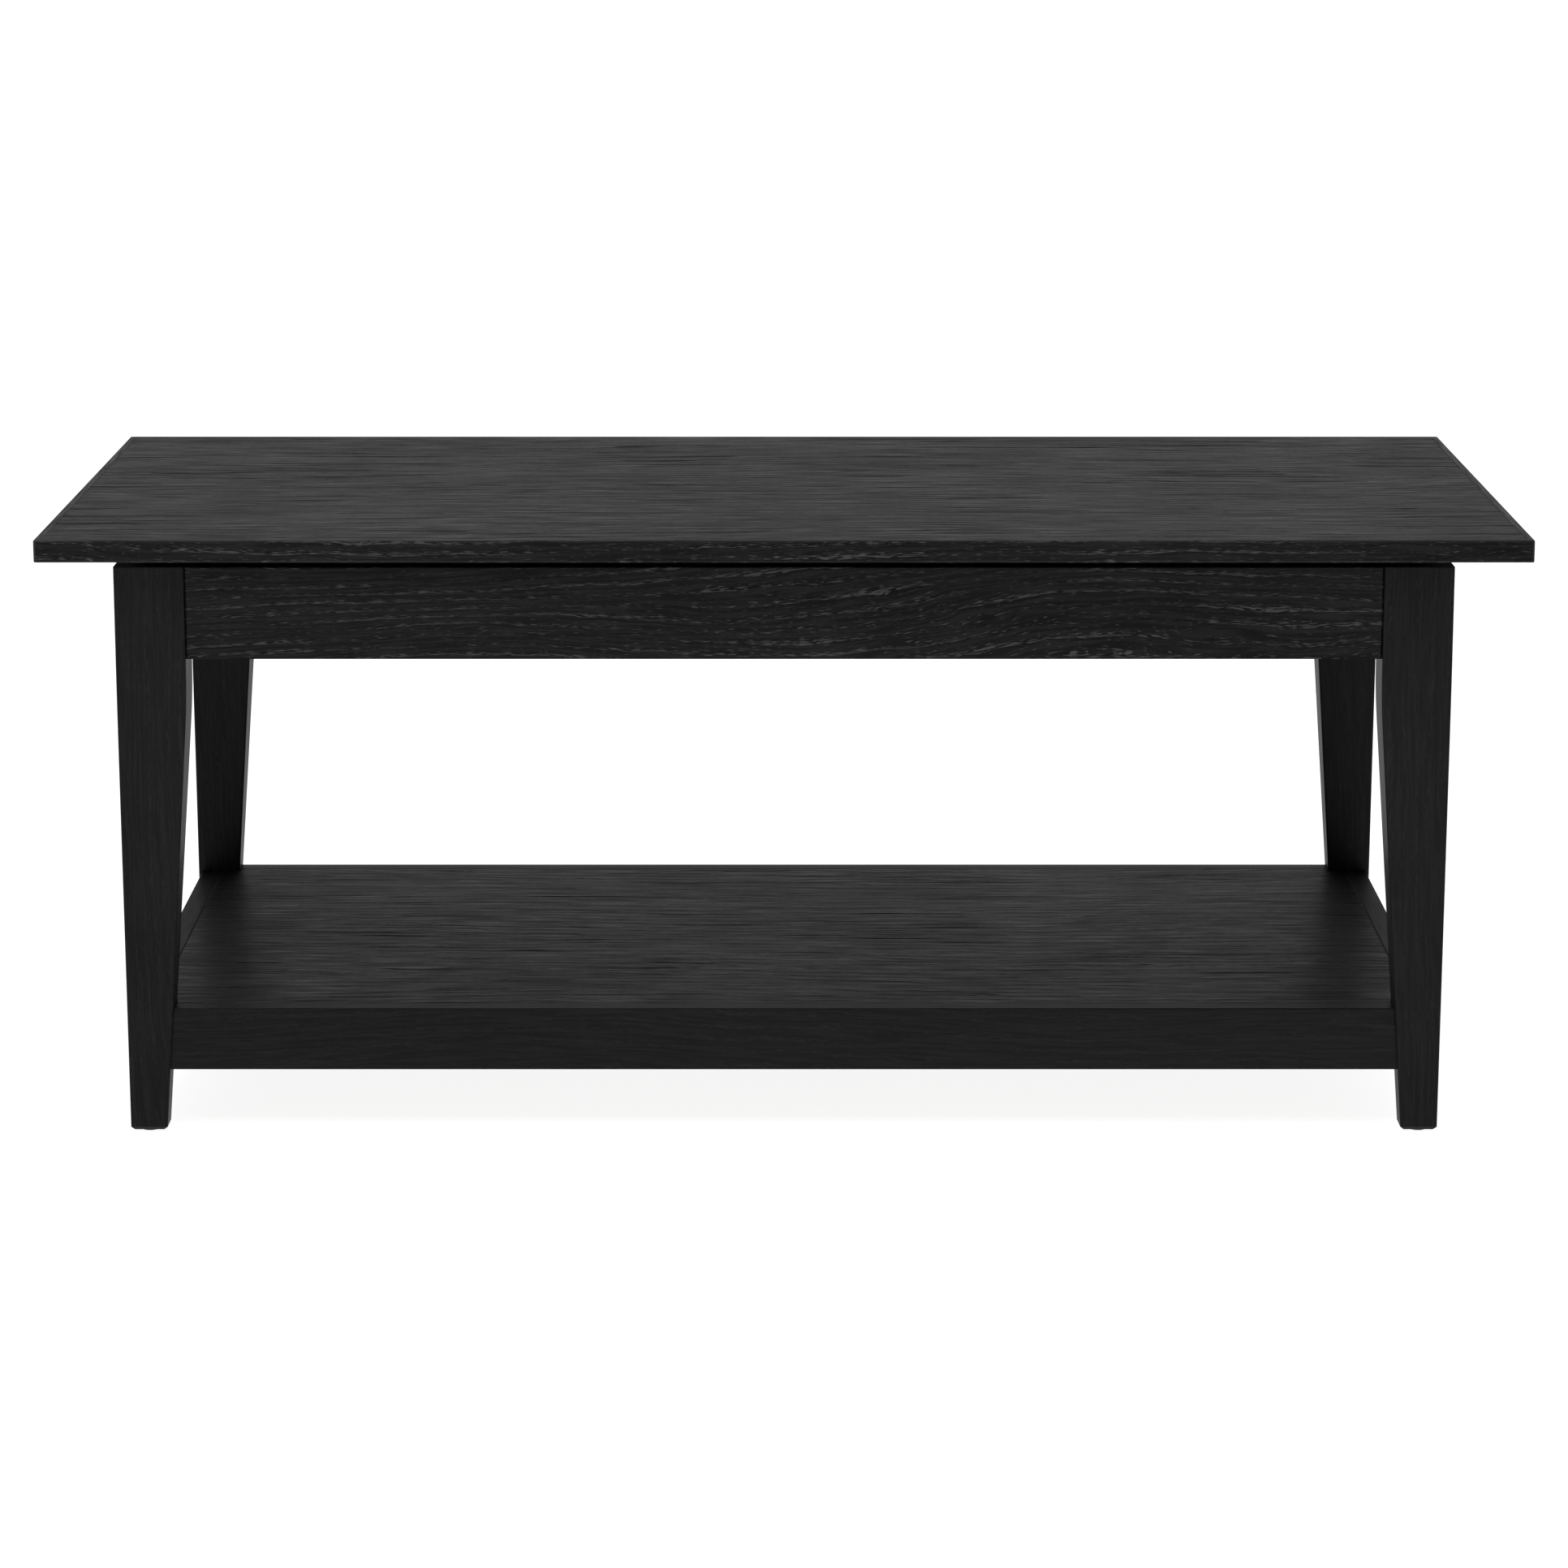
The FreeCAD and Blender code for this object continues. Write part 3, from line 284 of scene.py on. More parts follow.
# ---- shared effects -----------------------------------------------------------------------
# noise of each mark in the wood: length along the grain, width across it (metres), detail
SWAY = (0.70, 0.26, 1.0)        # slow bend of the growth rings
RAGGED = (0.09, 0.012, 2.0)     # fine unevenness of the growth rings
PATCH = (0.22, 0.018, 1.0)      # stretches where the early wood is porous
DASH = (0.0095, 0.00052, 1.0)   # single pores
FIBRE = (0.060, 0.0017, 2.0)
TONE = (0.60, 0.070, 1.0)       # slow light and dark along a board
BAND = (0.26, 0.0048, 2.0)      # faint dark bands
LENS = (0.24, 0.0066, 2.0)      # narrow dark lenses
# the noise values between which each mark goes from nothing to full
PATCH_RANGE = (0.38, 0.60)
PORE_RANGE = (0.64, 0.71)
FIBRE_RANGE = (0.38, 0.64)
BAND_RANGE = (0.50, 0.68)
LENS_RANGE = (0.615, 0.66)
MIDDLE = (0.3, 0.7)             # the middle part of any noise

LEAN = 0.72                     # share of the height that counts as distance across the grain
EARLY_SHARE = 0.55              # part of a ring that is early wood
LEAST_POROUS = 0.3              # porosity left between the porous stretches
RING_OPENS = 0.22               # how much sooner a pore opens in early wood
BAND_SHARE = 0.3                # strength of the bands beside the lenses
FIBRE_IN_LENS = 0.35            # how much the fibres break up a lens

# edge wear with painted highlight and painted shade on the arrises, and handling
EDGE_REACH = 0.0026             # how far in from an arris the edge wear, painted highlight and painted shade reach, metres
EDGE_FACING = (0.80, 0.995)     # cosine between rounded and plain normal: full edge colour, no edge colour
EDGE_BREAKUP = (0.035, 0.035, 3.0)
EDGE_BREAKUP_RANGE = (0.34, 0.66)
LEAST_EDGE_SHARE = 0.5
SMEARS = (0.16, 0.11, 3.0)
GRIT_SIZE = 0.0012              # metres
GRIT_DETAIL = 2.0


def growth(tree, vector, ring_width, wander):
    """Place in the tree: along the grain, and across it in metres. Slow noise bends the
    distance across so that arches form, and fine noise makes the rings ragged."""
    axes = add(tree, "ShaderNodeSeparateXYZ", {"Vector": vector})
    across = plus(tree, axes.outputs[1], axes.outputs[2], LEAN)
    slow = maths(tree, "SUBTRACT", cells(tree, vector, *SWAY), 0.5)
    fine = maths(tree, "SUBTRACT", cells(tree, vector, *RAGGED), 0.5)
    bent = plus(tree, plus(tree, across, slow, wander), fine, ring_width)
    return add(tree, "ShaderNodeCombineXYZ", {"X": axes.outputs[0], "Y": bent}).outputs[0], bent


def oak_figure_group():
    """Growth rings, open pores, fibres, slow tone and streaks of oak with its grain along X."""
    group, given, made = new_group(
        "Oak figure",
        [("Vector", "NodeSocketVector", None), ("Ring width", "NodeSocketFloat", None),
         ("Wander", "NodeSocketFloat", None)],
        ["Rings", "Pores", "Fibre", "Tone", "Streaks"])
    vector, width = given.outputs["Vector"], given.outputs["Ring width"]
    grown, bent = growth(group, vector, width, given.outputs["Wander"])
    place = maths(group, "FRACT", maths(group, "DIVIDE", bent, width))
    early = spread(group, place, 0.0, EARLY_SHARE, 1.0, 0.0)
    patch = spread(group, cells(group, grown, *PATCH), *PATCH_RANGE)
    rings = times(group, early, plus(group, LEAST_POROUS, patch, 1.0 - LEAST_POROUS))
    opening = plus(group, cells(group, grown, *DASH), rings, RING_OPENS)
    fibre = spread(group, cells(group, grown, *FIBRE), *FIBRE_RANGE)
    bands = spread(group, cells(group, grown, *BAND), *BAND_RANGE)
    lens = spread(group, cells(group, grown, *LENS), *LENS_RANGE)
    lens = dimmed(group, lens, fibre, FIBRE_IN_LENS)
    marks = {
        "Rings": rings,
        "Pores": spread(group, opening, *PORE_RANGE),
        "Fibre": fibre,
        "Tone": cells(group, vector, *TONE),
        "Streaks": maths(group, "MAXIMUM", times(group, bands, BAND_SHARE), lens),
    }
    for label, value in marks.items():
        group.links.new(value, made.inputs[label])
    return group


def edge_wear_and_light_group():
    """Mask of the arrises, broken up into patches; it places edge wear, and painted highlight
    and painted shade along the arrises.
    """
    group, given, made = new_group(
        "Edge wear and painted edge light",
        [("Vector", "NodeSocketVector", None), ("Reach", "NodeSocketFloat", EDGE_REACH),
         ("Amount", "NodeSocketFloat", None)],
        ["Mask"])
    rounded = add(group, "ShaderNodeBevel", {"Radius": given.outputs["Reach"]}, samples=4)
    surface = add(group, "ShaderNodeNewGeometry")
    facing = add(group, "ShaderNodeVectorMath",
                 {0: rounded.outputs["Normal"], 1: surface.outputs["Normal"]},
                 operation="DOT_PRODUCT")
    edge = spread(group, facing.outputs["Value"], *EDGE_FACING, 1.0, 0.0)
    patchy = spread(group, cells(group, given.outputs["Vector"], *EDGE_BREAKUP), *EDGE_BREAKUP_RANGE)
    share = times(group, plus(group, LEAST_EDGE_SHARE, patchy, 1.0 - LEAST_EDGE_SHARE),
                  given.outputs["Amount"])
    group.links.new(times(group, edge, share), made.inputs["Mask"])
    return group


def handling_group():
    """Slow and fine unevenness of a surface that has been handled: dullness and specks."""
    group, given, made = new_group(
        "Handling",
        [("Vector", "NodeSocketVector", None), ("Grit size", "NodeSocketFloat", GRIT_SIZE)],
        ["Smears", "Grit"])
    vector = given.outputs["Vector"]
    finer = maths(group, "DIVIDE", 1.0, given.outputs["Grit size"])
    grit = add(group, "ShaderNodeTexNoise",
               {"Vector": vector, "Scale": finer, "Detail": GRIT_DETAIL})
    group.links.new(cells(group, vector, *SMEARS), made.inputs["Smears"])
    group.links.new(grit.outputs[0], made.inputs["Grit"])
    return group


EFFECTS = {
    "Oak figure": oak_figure_group,
    "Edge wear and painted edge light": edge_wear_and_light_group,
    "Handling": handling_group,
}


def effect(tree, name, inputs):
    """A shared effect placed in a material with its own values."""
    group = bpy.data.node_groups.get(name) or EFFECTS[name]()
    return add(tree, "ShaderNodeGroup", inputs, node_tree=group).outputs


# ---- materials ----------------------------------------------------------------------------
# shares by which each mark of the oak changes its tone, film, dullness and relief
PALE_TONE, PALE_FIBRE, PALE_LOSS_RINGS = 0.4, 0.6, 0.9
FILM_PLAIN, FILM_PLAIN_LOSS, FILM_FIBRE, FILM_TONE = 0.66, 0.26, 0.55, 0.12
FILM_LOSS_RINGS, FILM_LOSS_STREAKS, FILM_LOSS_PORES, FILM_LOSS_EDGES = 0.3, 0.8, 0.7, 0.8
DULL_SMEARS, DULL_BARE, DULL_FIBRE = 0.04, 0.35, -0.16
RELIEF_PORES, RELIEF_RINGS, RELIEF_FIBRE = -1.0, -0.22, 0.10

# plain finishes: reflection, how many times paler the base colour gets, size of the grit in
# metres, least and most dullness, depth of the relief in metres
Coat = namedtuple("Coat", "gloss lift grit dull relief")
POWDER = Coat(0.45, 1.7, 0.0011, (0.34, 0.48), 0.00012)
RUBBER = Coat(0.40, 1.9, 0.0009, (0.73, 0.84), 0.00010)
NYLON = Coat(0.40, 1.12, 0.0012, (0.37, 0.48), 0.00003)
GLIDE = Coat(0.40, 1.5, 0.0012, (0.45, 0.56), 0.00004)
FACED = Coat(0.35, 1.6, 0.0009, (0.42, 0.55), 0.00008)
SOFTWOOD = Coat(0.30, 1.3, 0.0016, (0.55, 0.70), 0.00015)
BASE_RANGE = (0.35, 0.7)        # fibre or grit values between the base and the paler colour
POWDER_REACH, POWDER_WORN = 0.0008, 0.6
PRINT_WIDTH, PRINT_RINGS, PRINT_DARK = 1.4, 0.6, 0.55
SOFTWOOD_RING, SOFTWOOD_WANDER, SOFTWOOD_RINGS = 0.0042, 0.08, 0.9
ZINC_DRAWN = (0.02, 0.0004, 2.0)        # drawn lines
ZINC_CLOUD = (0.012, 0.009, 2.0)        # clouds of tint
ZINC_CLOUD_RANGE = (0.35, 0.65)
ZINC_GRIT, ZINC_WORN_RANGE, ZINC_WORN_SHADE = 0.0006, (0.62, 0.8), 0.45
ZINC_DULL, ZINC_RELIEF = (0.24, 0.40), 0.00002
FLOOR_GRIT, FLOOR_LIFT, FLOOR_DULL = 0.02, 1.01, (0.86, 0.94)


def new_material(name, **constants):
    """A material with its shader's constant values set on the shader's own sockets."""
    material = bpy.data.materials.new(name)
    material.use_nodes = True
    tree = material.node_tree
    shader = next(node for node in tree.nodes if node.type == "BSDF_PRINCIPLED")
    for key, value in constants.items():
        shader.inputs[key.replace("_", " ")].default_value = value
    return material, tree, shader


def piece_vector(tree, along="X"):
    """Place on the piece in metres, turned so that X runs along the grain."""
    place = add(tree, "ShaderNodeTexCoord").outputs["Object"]
    return add(tree, "ShaderNodeMapping",
               {"Vector": place, "Rotation": GRAIN_TURN[along]}).outputs[0]


def drive(tree, shader, colour, roughness, height, distance):
    """Link the varying colour, roughness and relief to the shader."""
    bump = add(tree, "ShaderNodeBump", {"Height": height, "Strength": 1.0, "Distance": distance})
    tree.links.new(colour, shader.inputs["Base Color"])
    tree.links.new(roughness, shader.inputs["Roughness"])
    tree.links.new(bump.outputs[0], shader.inputs["Normal"])


def oak(name, finish, along, pore_colour, wear_and_edge_light, figure=1.0, pores=1.0, streak=0.15,
        relief=0.00030, coarse=1.0, stray=1.0, edge_colour=None):
    """Stained oak under a thin clear film that sinks into the pores. The pore colour is
    dark stain on the veneers and a painted highlight on the pore rims of the other pieces;
    the edge colour is stain rubbed thin with a painted highlight, and painted shade where
    the dark colour is given. The argument after the pore colour is how much of the edge
    colour the arrises show, figure, pores and streak set how bold the grain is, relief how
    deep the pores are in metres, coarse how wide apart the rings lie, and stray how far
    they wander."""
    material, tree, shader = new_material(name, Specular_IOR_Level=finish.bare_gloss,
                                          Coat_Roughness=finish.film_roughness)
    vector = piece_vector(tree, along)
    grain = effect(tree, "Oak figure", {"Vector": vector, "Wander": finish.wander * stray,
                                        "Ring width": finish.ring_width * coarse})
    # mask of the arrises for the edge colour, which holds painted highlight and painted shade as
    # well as wear
    edge = effect(tree, "Edge wear and painted edge light", {"Vector": vector, "Amount": wear_and_edge_light})["Mask"]
    smears = effect(tree, "Handling", {"Vector": vector})["Smears"]
    fibre = grain["Fibre"]
    open_pores = times(tree, grain["Pores"], pores)
    streaks = times(tree, grain["Streaks"], streak)
    rings = times(tree, grain["Rings"], figure)
    tone = spread(tree, grain["Tone"], *MIDDLE)

    pale = plus(tree, times(tree, fibre, PALE_FIBRE), tone, PALE_TONE)
    pale = dimmed(tree, pale, rings, PALE_LOSS_RINGS)
    colour = mix(tree, pale, finish.stain, finish.late_wood)
    colour = mix(tree, streaks, colour, finish.dark_stain_and_edge_shade)
    # pores: dark stain on the veneers, a painted highlight on the pore rims of the lippings,
    # aprons, rails and legs
    colour = mix(tree, open_pores, colour, pore_colour)
    # arrises: stain rubbed thin with a painted highlight on the shelf panel and lippings,
    # painted shade on the top board, legs, aprons and rails
    colour = mix(tree, edge, colour, edge_colour or finish.rubbed_and_highlight)

    film = plus(tree, FILM_PLAIN - FILM_PLAIN_LOSS * figure, fibre, FILM_FIBRE * figure)
    film = plus(tree, film, tone, FILM_TONE)
    for mask, loss in ((rings, FILM_LOSS_RINGS), (streaks, FILM_LOSS_STREAKS),
                       (open_pores, FILM_LOSS_PORES), (edge, FILM_LOSS_EDGES)):
        film = dimmed(tree, film, mask, loss)
    tree.links.new(times(tree, film, finish.film), shader.inputs["Coat Weight"])

    dull = spread(tree, smears, *MIDDLE, finish.roughness - DULL_SMEARS,
                  finish.roughness + DULL_SMEARS)
    dull = plus(tree, dull, maths(tree, "MAXIMUM", streaks, edge), DULL_BARE)
    dull = plus(tree, dull, fibre, DULL_FIBRE * figure)
    height = plus(tree, times(tree, fibre, RELIEF_FIBRE), open_pores, RELIEF_PORES)
    height = plus(tree, height, rings, RELIEF_RINGS)
    drive(tree, shader, colour, dull, height, relief)
    return material


def powder_coat(finish):
    """Black powder coat: fine orange peel, edges rubbed towards grey."""
    material, tree, shader = new_material("black_powder_coat", Specular_IOR_Level=POWDER.gloss)
    vector = piece_vector(tree)
    handled = effect(tree, "Handling", {"Vector": vector, "Grit size": POWDER.grit})
    edge = effect(tree, "Edge wear and painted edge light", {"Vector": vector, "Reach": POWDER_REACH,
                                         "Amount": POWDER_WORN})
    colour = mix(tree, spread(tree, handled["Smears"], *MIDDLE), finish.powder,
                 scaled(finish.powder, POWDER.lift))
    colour = mix(tree, edge["Mask"], colour, finish.powder_rubbed)
    dull = spread(tree, handled["Smears"], *MIDDLE, *POWDER.dull)
    drive(tree, shader, colour, dull, handled["Grit"], POWDER.relief)
    return material


def zinc_plate(name, finish, along, wear_and_edge_light):
    """Bright zinc: drawn lines along the piece, clouds of tint, darker where it is worn."""
    material, tree, shader = new_material(name, Metallic=1.0)
    vector = piece_vector(tree, along)
    grit = effect(tree, "Handling", {"Vector": vector, "Grit size": ZINC_GRIT})["Grit"]
    drawn = cells(tree, vector, *ZINC_DRAWN)
    clouds = spread(tree, cells(tree, vector, *ZINC_CLOUD), *ZINC_CLOUD_RANGE)
    colour = mix(tree, clouds, finish.zinc, finish.zinc_tint)
    colour = mix(tree, spread(tree, grit, *ZINC_WORN_RANGE, 0.0, wear_and_edge_light), colour,
                 scaled(finish.zinc, ZINC_WORN_SHADE))
    dull = spread(tree, drawn, *MIDDLE, *ZINC_DULL)
    drive(tree, shader, colour, dull, drawn, ZINC_RELIEF)
    return material


def moulded(name, base, coat):
    """Rubber or plastic: fine tooth, cloudy bloom that lifts the colour a little."""
    material, tree, shader = new_material(name, Specular_IOR_Level=coat.gloss)
    handled = effect(tree, "Handling", {"Vector": piece_vector(tree), "Grit size": coat.grit})
    colour = mix(tree, spread(tree, handled["Grit"], *BASE_RANGE), base,
                 scaled(base, coat.lift))
    dull = spread(tree, handled["Smears"], *MIDDLE, *coat.dull)
    drive(tree, shader, colour, dull, handled["Grit"], coat.relief)
    return material


def faced_board(finish, oak_finish):
    """Black faced board with a faint printed grain, for the compartment floor."""
    material, tree, shader = new_material("faced_board", Specular_IOR_Level=FACED.gloss)
    vector = piece_vector(tree)
    grain = effect(tree, "Oak figure", {"Vector": vector, "Wander": oak_finish.wander,
                                        "Ring width": oak_finish.ring_width * PRINT_WIDTH})
    handled = effect(tree, "Handling", {"Vector": vector, "Grit size": FACED.grit})
    colour = mix(tree, spread(tree, grain["Fibre"], *BASE_RANGE), finish.board,
                 scaled(finish.board, FACED.lift))
    colour = mix(tree, times(tree, grain["Rings"], PRINT_RINGS), colour,
                 scaled(finish.board, PRINT_DARK))
    dull = spread(tree, handled["Smears"], *MIDDLE, *FACED.dull)
    drive(tree, shader, colour, dull, handled["Grit"], FACED.relief)
    return material


def softwood(name, finish, along):
    """Planed softwood: orange late wood lines on pale early wood."""
    material, tree, shader = new_material(name, Specular_IOR_Level=SOFTWOOD.gloss)
    vector = piece_vector(tree, along)
    grain = effect(tree, "Oak figure", {"Vector": vector, "Ring width": SOFTWOOD_RING,
                                        "Wander": SOFTWOOD_WANDER})
    handled = effect(tree, "Handling", {"Vector": vector, "Grit size": SOFTWOOD.grit})
    colour = mix(tree, spread(tree, grain["Fibre"], *BASE_RANGE), finish.softwood,
                 scaled(finish.softwood, SOFTWOOD.lift))
    colour = mix(tree, times(tree, grain["Rings"], SOFTWOOD_RINGS), colour,
                 finish.softwood_line)
    dull = spread(tree, handled["Smears"], *MIDDLE, *SOFTWOOD.dull)
    drive(tree, shader, colour, dull, grain["Fibre"], SOFTWOOD.relief)
    return material


def floor_paint(studio):
    """Matt pale floor, lit a little from below, with a breath of unevenness."""
    material, tree, shader = new_material("studio_floor", Specular_IOR_Level=0.0,
                                          Emission_Strength=studio.floor_glow,
                                          Emission_Color=(1.0, 1.0, 1.0, 1.0))
    handled = effect(tree, "Handling", {"Vector": piece_vector(tree), "Grit size": FLOOR_GRIT})
    colour = mix(tree, handled["Smears"], studio.floor, scaled(studio.floor, FLOOR_LIFT))
    dull = spread(tree, handled["Grit"], *MIDDLE, *FLOOR_DULL)
    tree.links.new(colour, shader.inputs["Base Color"])
    tree.links.new(dull, shader.inputs["Roughness"])
    return material


def dress(names, material):
    """Give carried-over pieces a finish in every one of their material slots."""
    for name in names:
        slots = frame["nodes"][name].material_slots
        if not slots:
            frame["nodes"][name].data.materials.append(material)
        for slot in slots:
            slot.material = material


# ---- surfaces -----------------------------------------------------------------------------
FLOOR_LINES = 13


def surface(name, points, wrap_across, cap_ends=False):
    """Mesh of a grid of points, indexed [along, across, xyz]; faces point away from the
    middle of each row. Rows close on themselves where wrap_across is set, and the first
    and last rows are filled where cap_ends is."""
    rows, columns, _ = points.shape
    index = np.arange(rows * columns).reshape(rows, columns)
    right = np.roll(index, -1, axis=1) if wrap_across else index[:, 1:]
    left = index if wrap_across else index[:, :-1]
    quads = np.stack([left[:-1], right[:-1], right[1:], left[1:]], axis=-1).reshape(-1, 4)
    faces = quads.tolist()
    if cap_ends:
        faces += [index[0, ::-1].tolist(), index[-1].tolist()]
    mesh = bpy.data.meshes.new(name)
    mesh.from_pydata(points.reshape(-1, 3).tolist(), [], faces)
    mesh.shade_smooth()
    piece = bpy.data.objects.new(name, mesh)
    bpy.context.scene.collection.objects.link(piece)
    return piece


def swept_wire(path, side, radius, sides):
    """Points of a round wire: each path point plus radius times cos and sin of the angle,
    in the plane square to the path that holds the side direction."""
    ahead = np.gradient(path, axis=0)
    ahead /= np.linalg.norm(ahead, axis=1, keepdims=True)
    out = side - ahead * np.sum(side * ahead, axis=1, keepdims=True)
    out /= np.linalg.norm(out, axis=1, keepdims=True)
    third = np.cross(ahead, out)
    angle = np.linspace(0.0, 2.0 * math.pi, sides, endpoint=False)[None, :, None]
    spoke = out[:, None] * np.cos(angle) + third[:, None] * np.sin(angle)
    return path[:, None] + radius * spoke


def end_loop(shape, coil_end, coil_r, rise, pin_y, way):
    """Path of one end loop, with the wire's side direction at each point. The angle goes on
    from the coil's last turn: over the first quarter the helix blends smoothly into a circle
    round the pin, in the plane X = middle, and the circle then runs on until the gap is
    left. way is 1 at the coil's far end and -1 at its near end."""
    middle_x, end_y, middle_z = coil_end
    steps = shape.steps_per_turn * 2
    turn = np.linspace(0.0, 2.0 * math.pi - shape.loop_gap, steps) * way
    share = np.clip(np.abs(turn) / (math.pi / 2.0), 0.0, 1.0)
    share = share * share * (3.0 - 2.0 * share)
    helix = np.stack([middle_x + coil_r * np.cos(turn), end_y + rise * turn / (2.0 * math.pi),
                      middle_z + coil_r * np.sin(turn)], axis=1)
    circle = np.stack([np.full_like(turn, middle_x), pin_y - way * shape.loop * np.cos(turn),
                       middle_z + shape.loop * np.sin(turn)], axis=1)
    path = helix * (1.0 - share[:, None]) + circle * share[:, None]
    side = np.tile([1.0, 0.0, 0.0], (steps, 1))
    helix_side = np.stack([np.cos(turn), np.zeros_like(turn), np.sin(turn)], axis=1)
    return path, helix_side * (1.0 - share[:, None]) + side * share[:, None]


def spring_points(shape, node, anchor_y):
    """Wire of one spring: a helix round the spring's axis, radius cos and sin of the angle,
    moving along Y, with an end loop round each pin."""
    low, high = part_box(node)
    middle_x, middle_z = (low.x + high.x) / 2.0, (low.z + high.z) / 2.0
    coil_r = (high.z - low.z) / 2.0 - shape.wire / 2.0
    hook_y = low.y + (high.y - anchor_y)
    set_in = shape.loop + shape.wire / 2.0
    start, stop = hook_y + set_in, anchor_y - set_in
    rise = (stop - start) / shape.turns
    turn = np.linspace(0.0, 2.0 * math.pi * shape.turns, shape.turns * shape.steps_per_turn + 1)
    coil = np.stack([middle_x + coil_r * np.cos(turn), start + rise * turn / (2.0 * math.pi),
                     middle_z + coil_r * np.sin(turn)], axis=1)
    coil_side = np.stack([np.cos(turn), np.zeros_like(turn), np.sin(turn)], axis=1)
    hook, hook_side = end_loop(shape, (middle_x, start, middle_z), coil_r, rise, hook_y, -1)
    far, far_side = end_loop(shape, (middle_x, stop, middle_z), coil_r, rise, anchor_y, 1)
    path = np.concatenate([hook[:0:-1], coil, far[1:]])
    side = np.concatenate([hook_side[:0:-1], coil_side, far_side[1:]])
    return swept_wire(path, side, shape.wire / 2.0, shape.sides)


def floor_points(half):
    """Level square: x and y each run from -half to half, z is 0."""
    line = np.linspace(-half, half, FLOOR_LINES)
    x, y = np.meshgrid(line, line, indexing="ij")
    return np.stack([x, y, np.zeros_like(x)], axis=-1)


# ---- operators ----------------------------------------------------------------------------
class TABLE_OT_top(bpy.types.Operator):
    """Finish the veneered top and shelf, and the top's lippings"""
    bl_idname = "coffee_table.top"
    bl_label = "Top and shelf"

    def execute(self, context):
        finish = context.scene.coffee_oak
        pore_stain_and_seam_shade, pore_highlight = finish.dark_stain_and_edge_shade, finish.painted_pore_highlight
        veneer = {"pore_colour": pore_stain_and_seam_shade, "streak": 1.0, "coarse": 1.7, "stray": 0.6}
        # the top board's border takes the dark colour: painted shade along its seam with the
        # lippings
        dress(("top_board",), oak("oak_top", finish, "X", wear_and_edge_light=1.0, edge_colour=pore_stain_and_seam_shade, **veneer))
        # the shelf panel's border: stain rubbed thin and a painted highlight along its arris
        dress(("shelf_panel",), oak("oak_shelf", finish, "X", wear_and_edge_light=0.9, **veneer))
        # the lippings: pale pores as a painted highlight on the pore rims, and a painted
        # highlight with the rubbed stain on their arrises
        lipping = {"pore_colour": pore_highlight, "stray": 0.3, "wear_and_edge_light": 0.9}
        dress(LIPPING_LONG, oak("oak_lipping_long", finish, "X", **lipping))
        dress(LIPPING_SHORT, oak("oak_lipping_short", finish, "Y", **lipping))
        return {"FINISHED"}


class TABLE_OT_base(bpy.types.Operator):
    """Finish the legs, aprons and shelf rails"""
    bl_idname = "coffee_table.base"
    bl_label = "Legs and rails"

    def execute(self, context):
        finish = context.scene.coffee_oak
        # pale pores are a painted highlight on the pore rims, and the dark edge colour is
        # painted shade along the arrises
        plain = {"pore_colour": finish.painted_pore_highlight, "wear_and_edge_light": 0.8, "edge_colour": finish.dark_stain_and_edge_shade}
        dress(APRON_LONG, oak("oak_apron_long", finish, "X", **plain))
        dress(APRON_SHORT, oak("oak_apron_short", finish, "Y", **plain))
        smooth = {"figure": 0.22, "pores": 0.12, "streak": 0.1, "relief": 0.00010, "stray": 0.4}
        dress(RAIL_LONG, oak("oak_rail_long", finish, "X", **plain, **smooth))
        dress(RAIL_SHORT, oak("oak_rail_short", finish, "Y", **plain, **smooth))
        dress(LEGS, oak("oak_leg", finish, "Z", **plain, **smooth))
        return {"FINISHED"}


class TABLE_OT_hidden_wood(bpy.types.Operator):
    """Finish the compartment floor, battens, cleats and dowels"""
    bl_idname = "coffee_table.hidden_wood"
    bl_label = "Compartment and hidden wood"

    def execute(self, context):
        finish = context.scene.coffee_hardware
        dress(("compartment_floor",), faced_board(finish, context.scene.coffee_oak))
        dress(BATTEN_NODES, softwood("softwood_batten", finish, "Y"))
        dress(CLEAT_NODES, softwood("softwood_cleat", finish, "X"))
        return {"FINISHED"}


class TABLE_OT_hardware(bpy.types.Operator):
    """Finish the lifting mechanism's steel, pins, screws, washers and rubber"""
    bl_idname = "coffee_table.hardware"
    bl_label = "Lifting hardware"

    def execute(self, context):
        finish = context.scene.coffee_hardware
        dress(STEEL_NODES, powder_coat(finish))
        dress(PLATED_NODES, zinc_plate("zinc_pins", finish, "X", 0.35))
        dress(SCREW_NODES, zinc_plate("zinc_screws", finish, "Z", 0.6))
        dress(RUBBER_NODES, moulded("black_rubber", finish.rubber, RUBBER))
        dress(WASHER_NODES, moulded("nylon", finish.nylon, NYLON))
        dress(("foot_glides",), moulded("glide_plastic", finish.glide, GLIDE))
        return {"FINISHED"}


class TABLE_OT_springs(bpy.types.Operator):
    """Wind the two extension springs in place of their plain tubes"""
    bl_idname = "coffee_table.springs"
    bl_label = "Springs"

    def execute(self, context):
        shape = context.scene.coffee_springs
        finish = context.scene.coffee_hardware
        wire = zinc_plate("zinc_spring_wire", finish, "Y", 0.5)
        swing = next(joint for joint in frame["joints"] if joint["name"] == "spring_swing")
        anchor_y = swing["pos_m"][1]
        for side in ("left", "right"):
            node = "lift_spring_" + side
            spring = surface("spring_coil_" + side, spring_points(shape, node, anchor_y),
                             wrap_across=True, cap_ends=True)
            spring.data.materials.append(wire)
            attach(spring, "springs")
            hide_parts(node)
            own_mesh(spring)
        return {"FINISHED"}


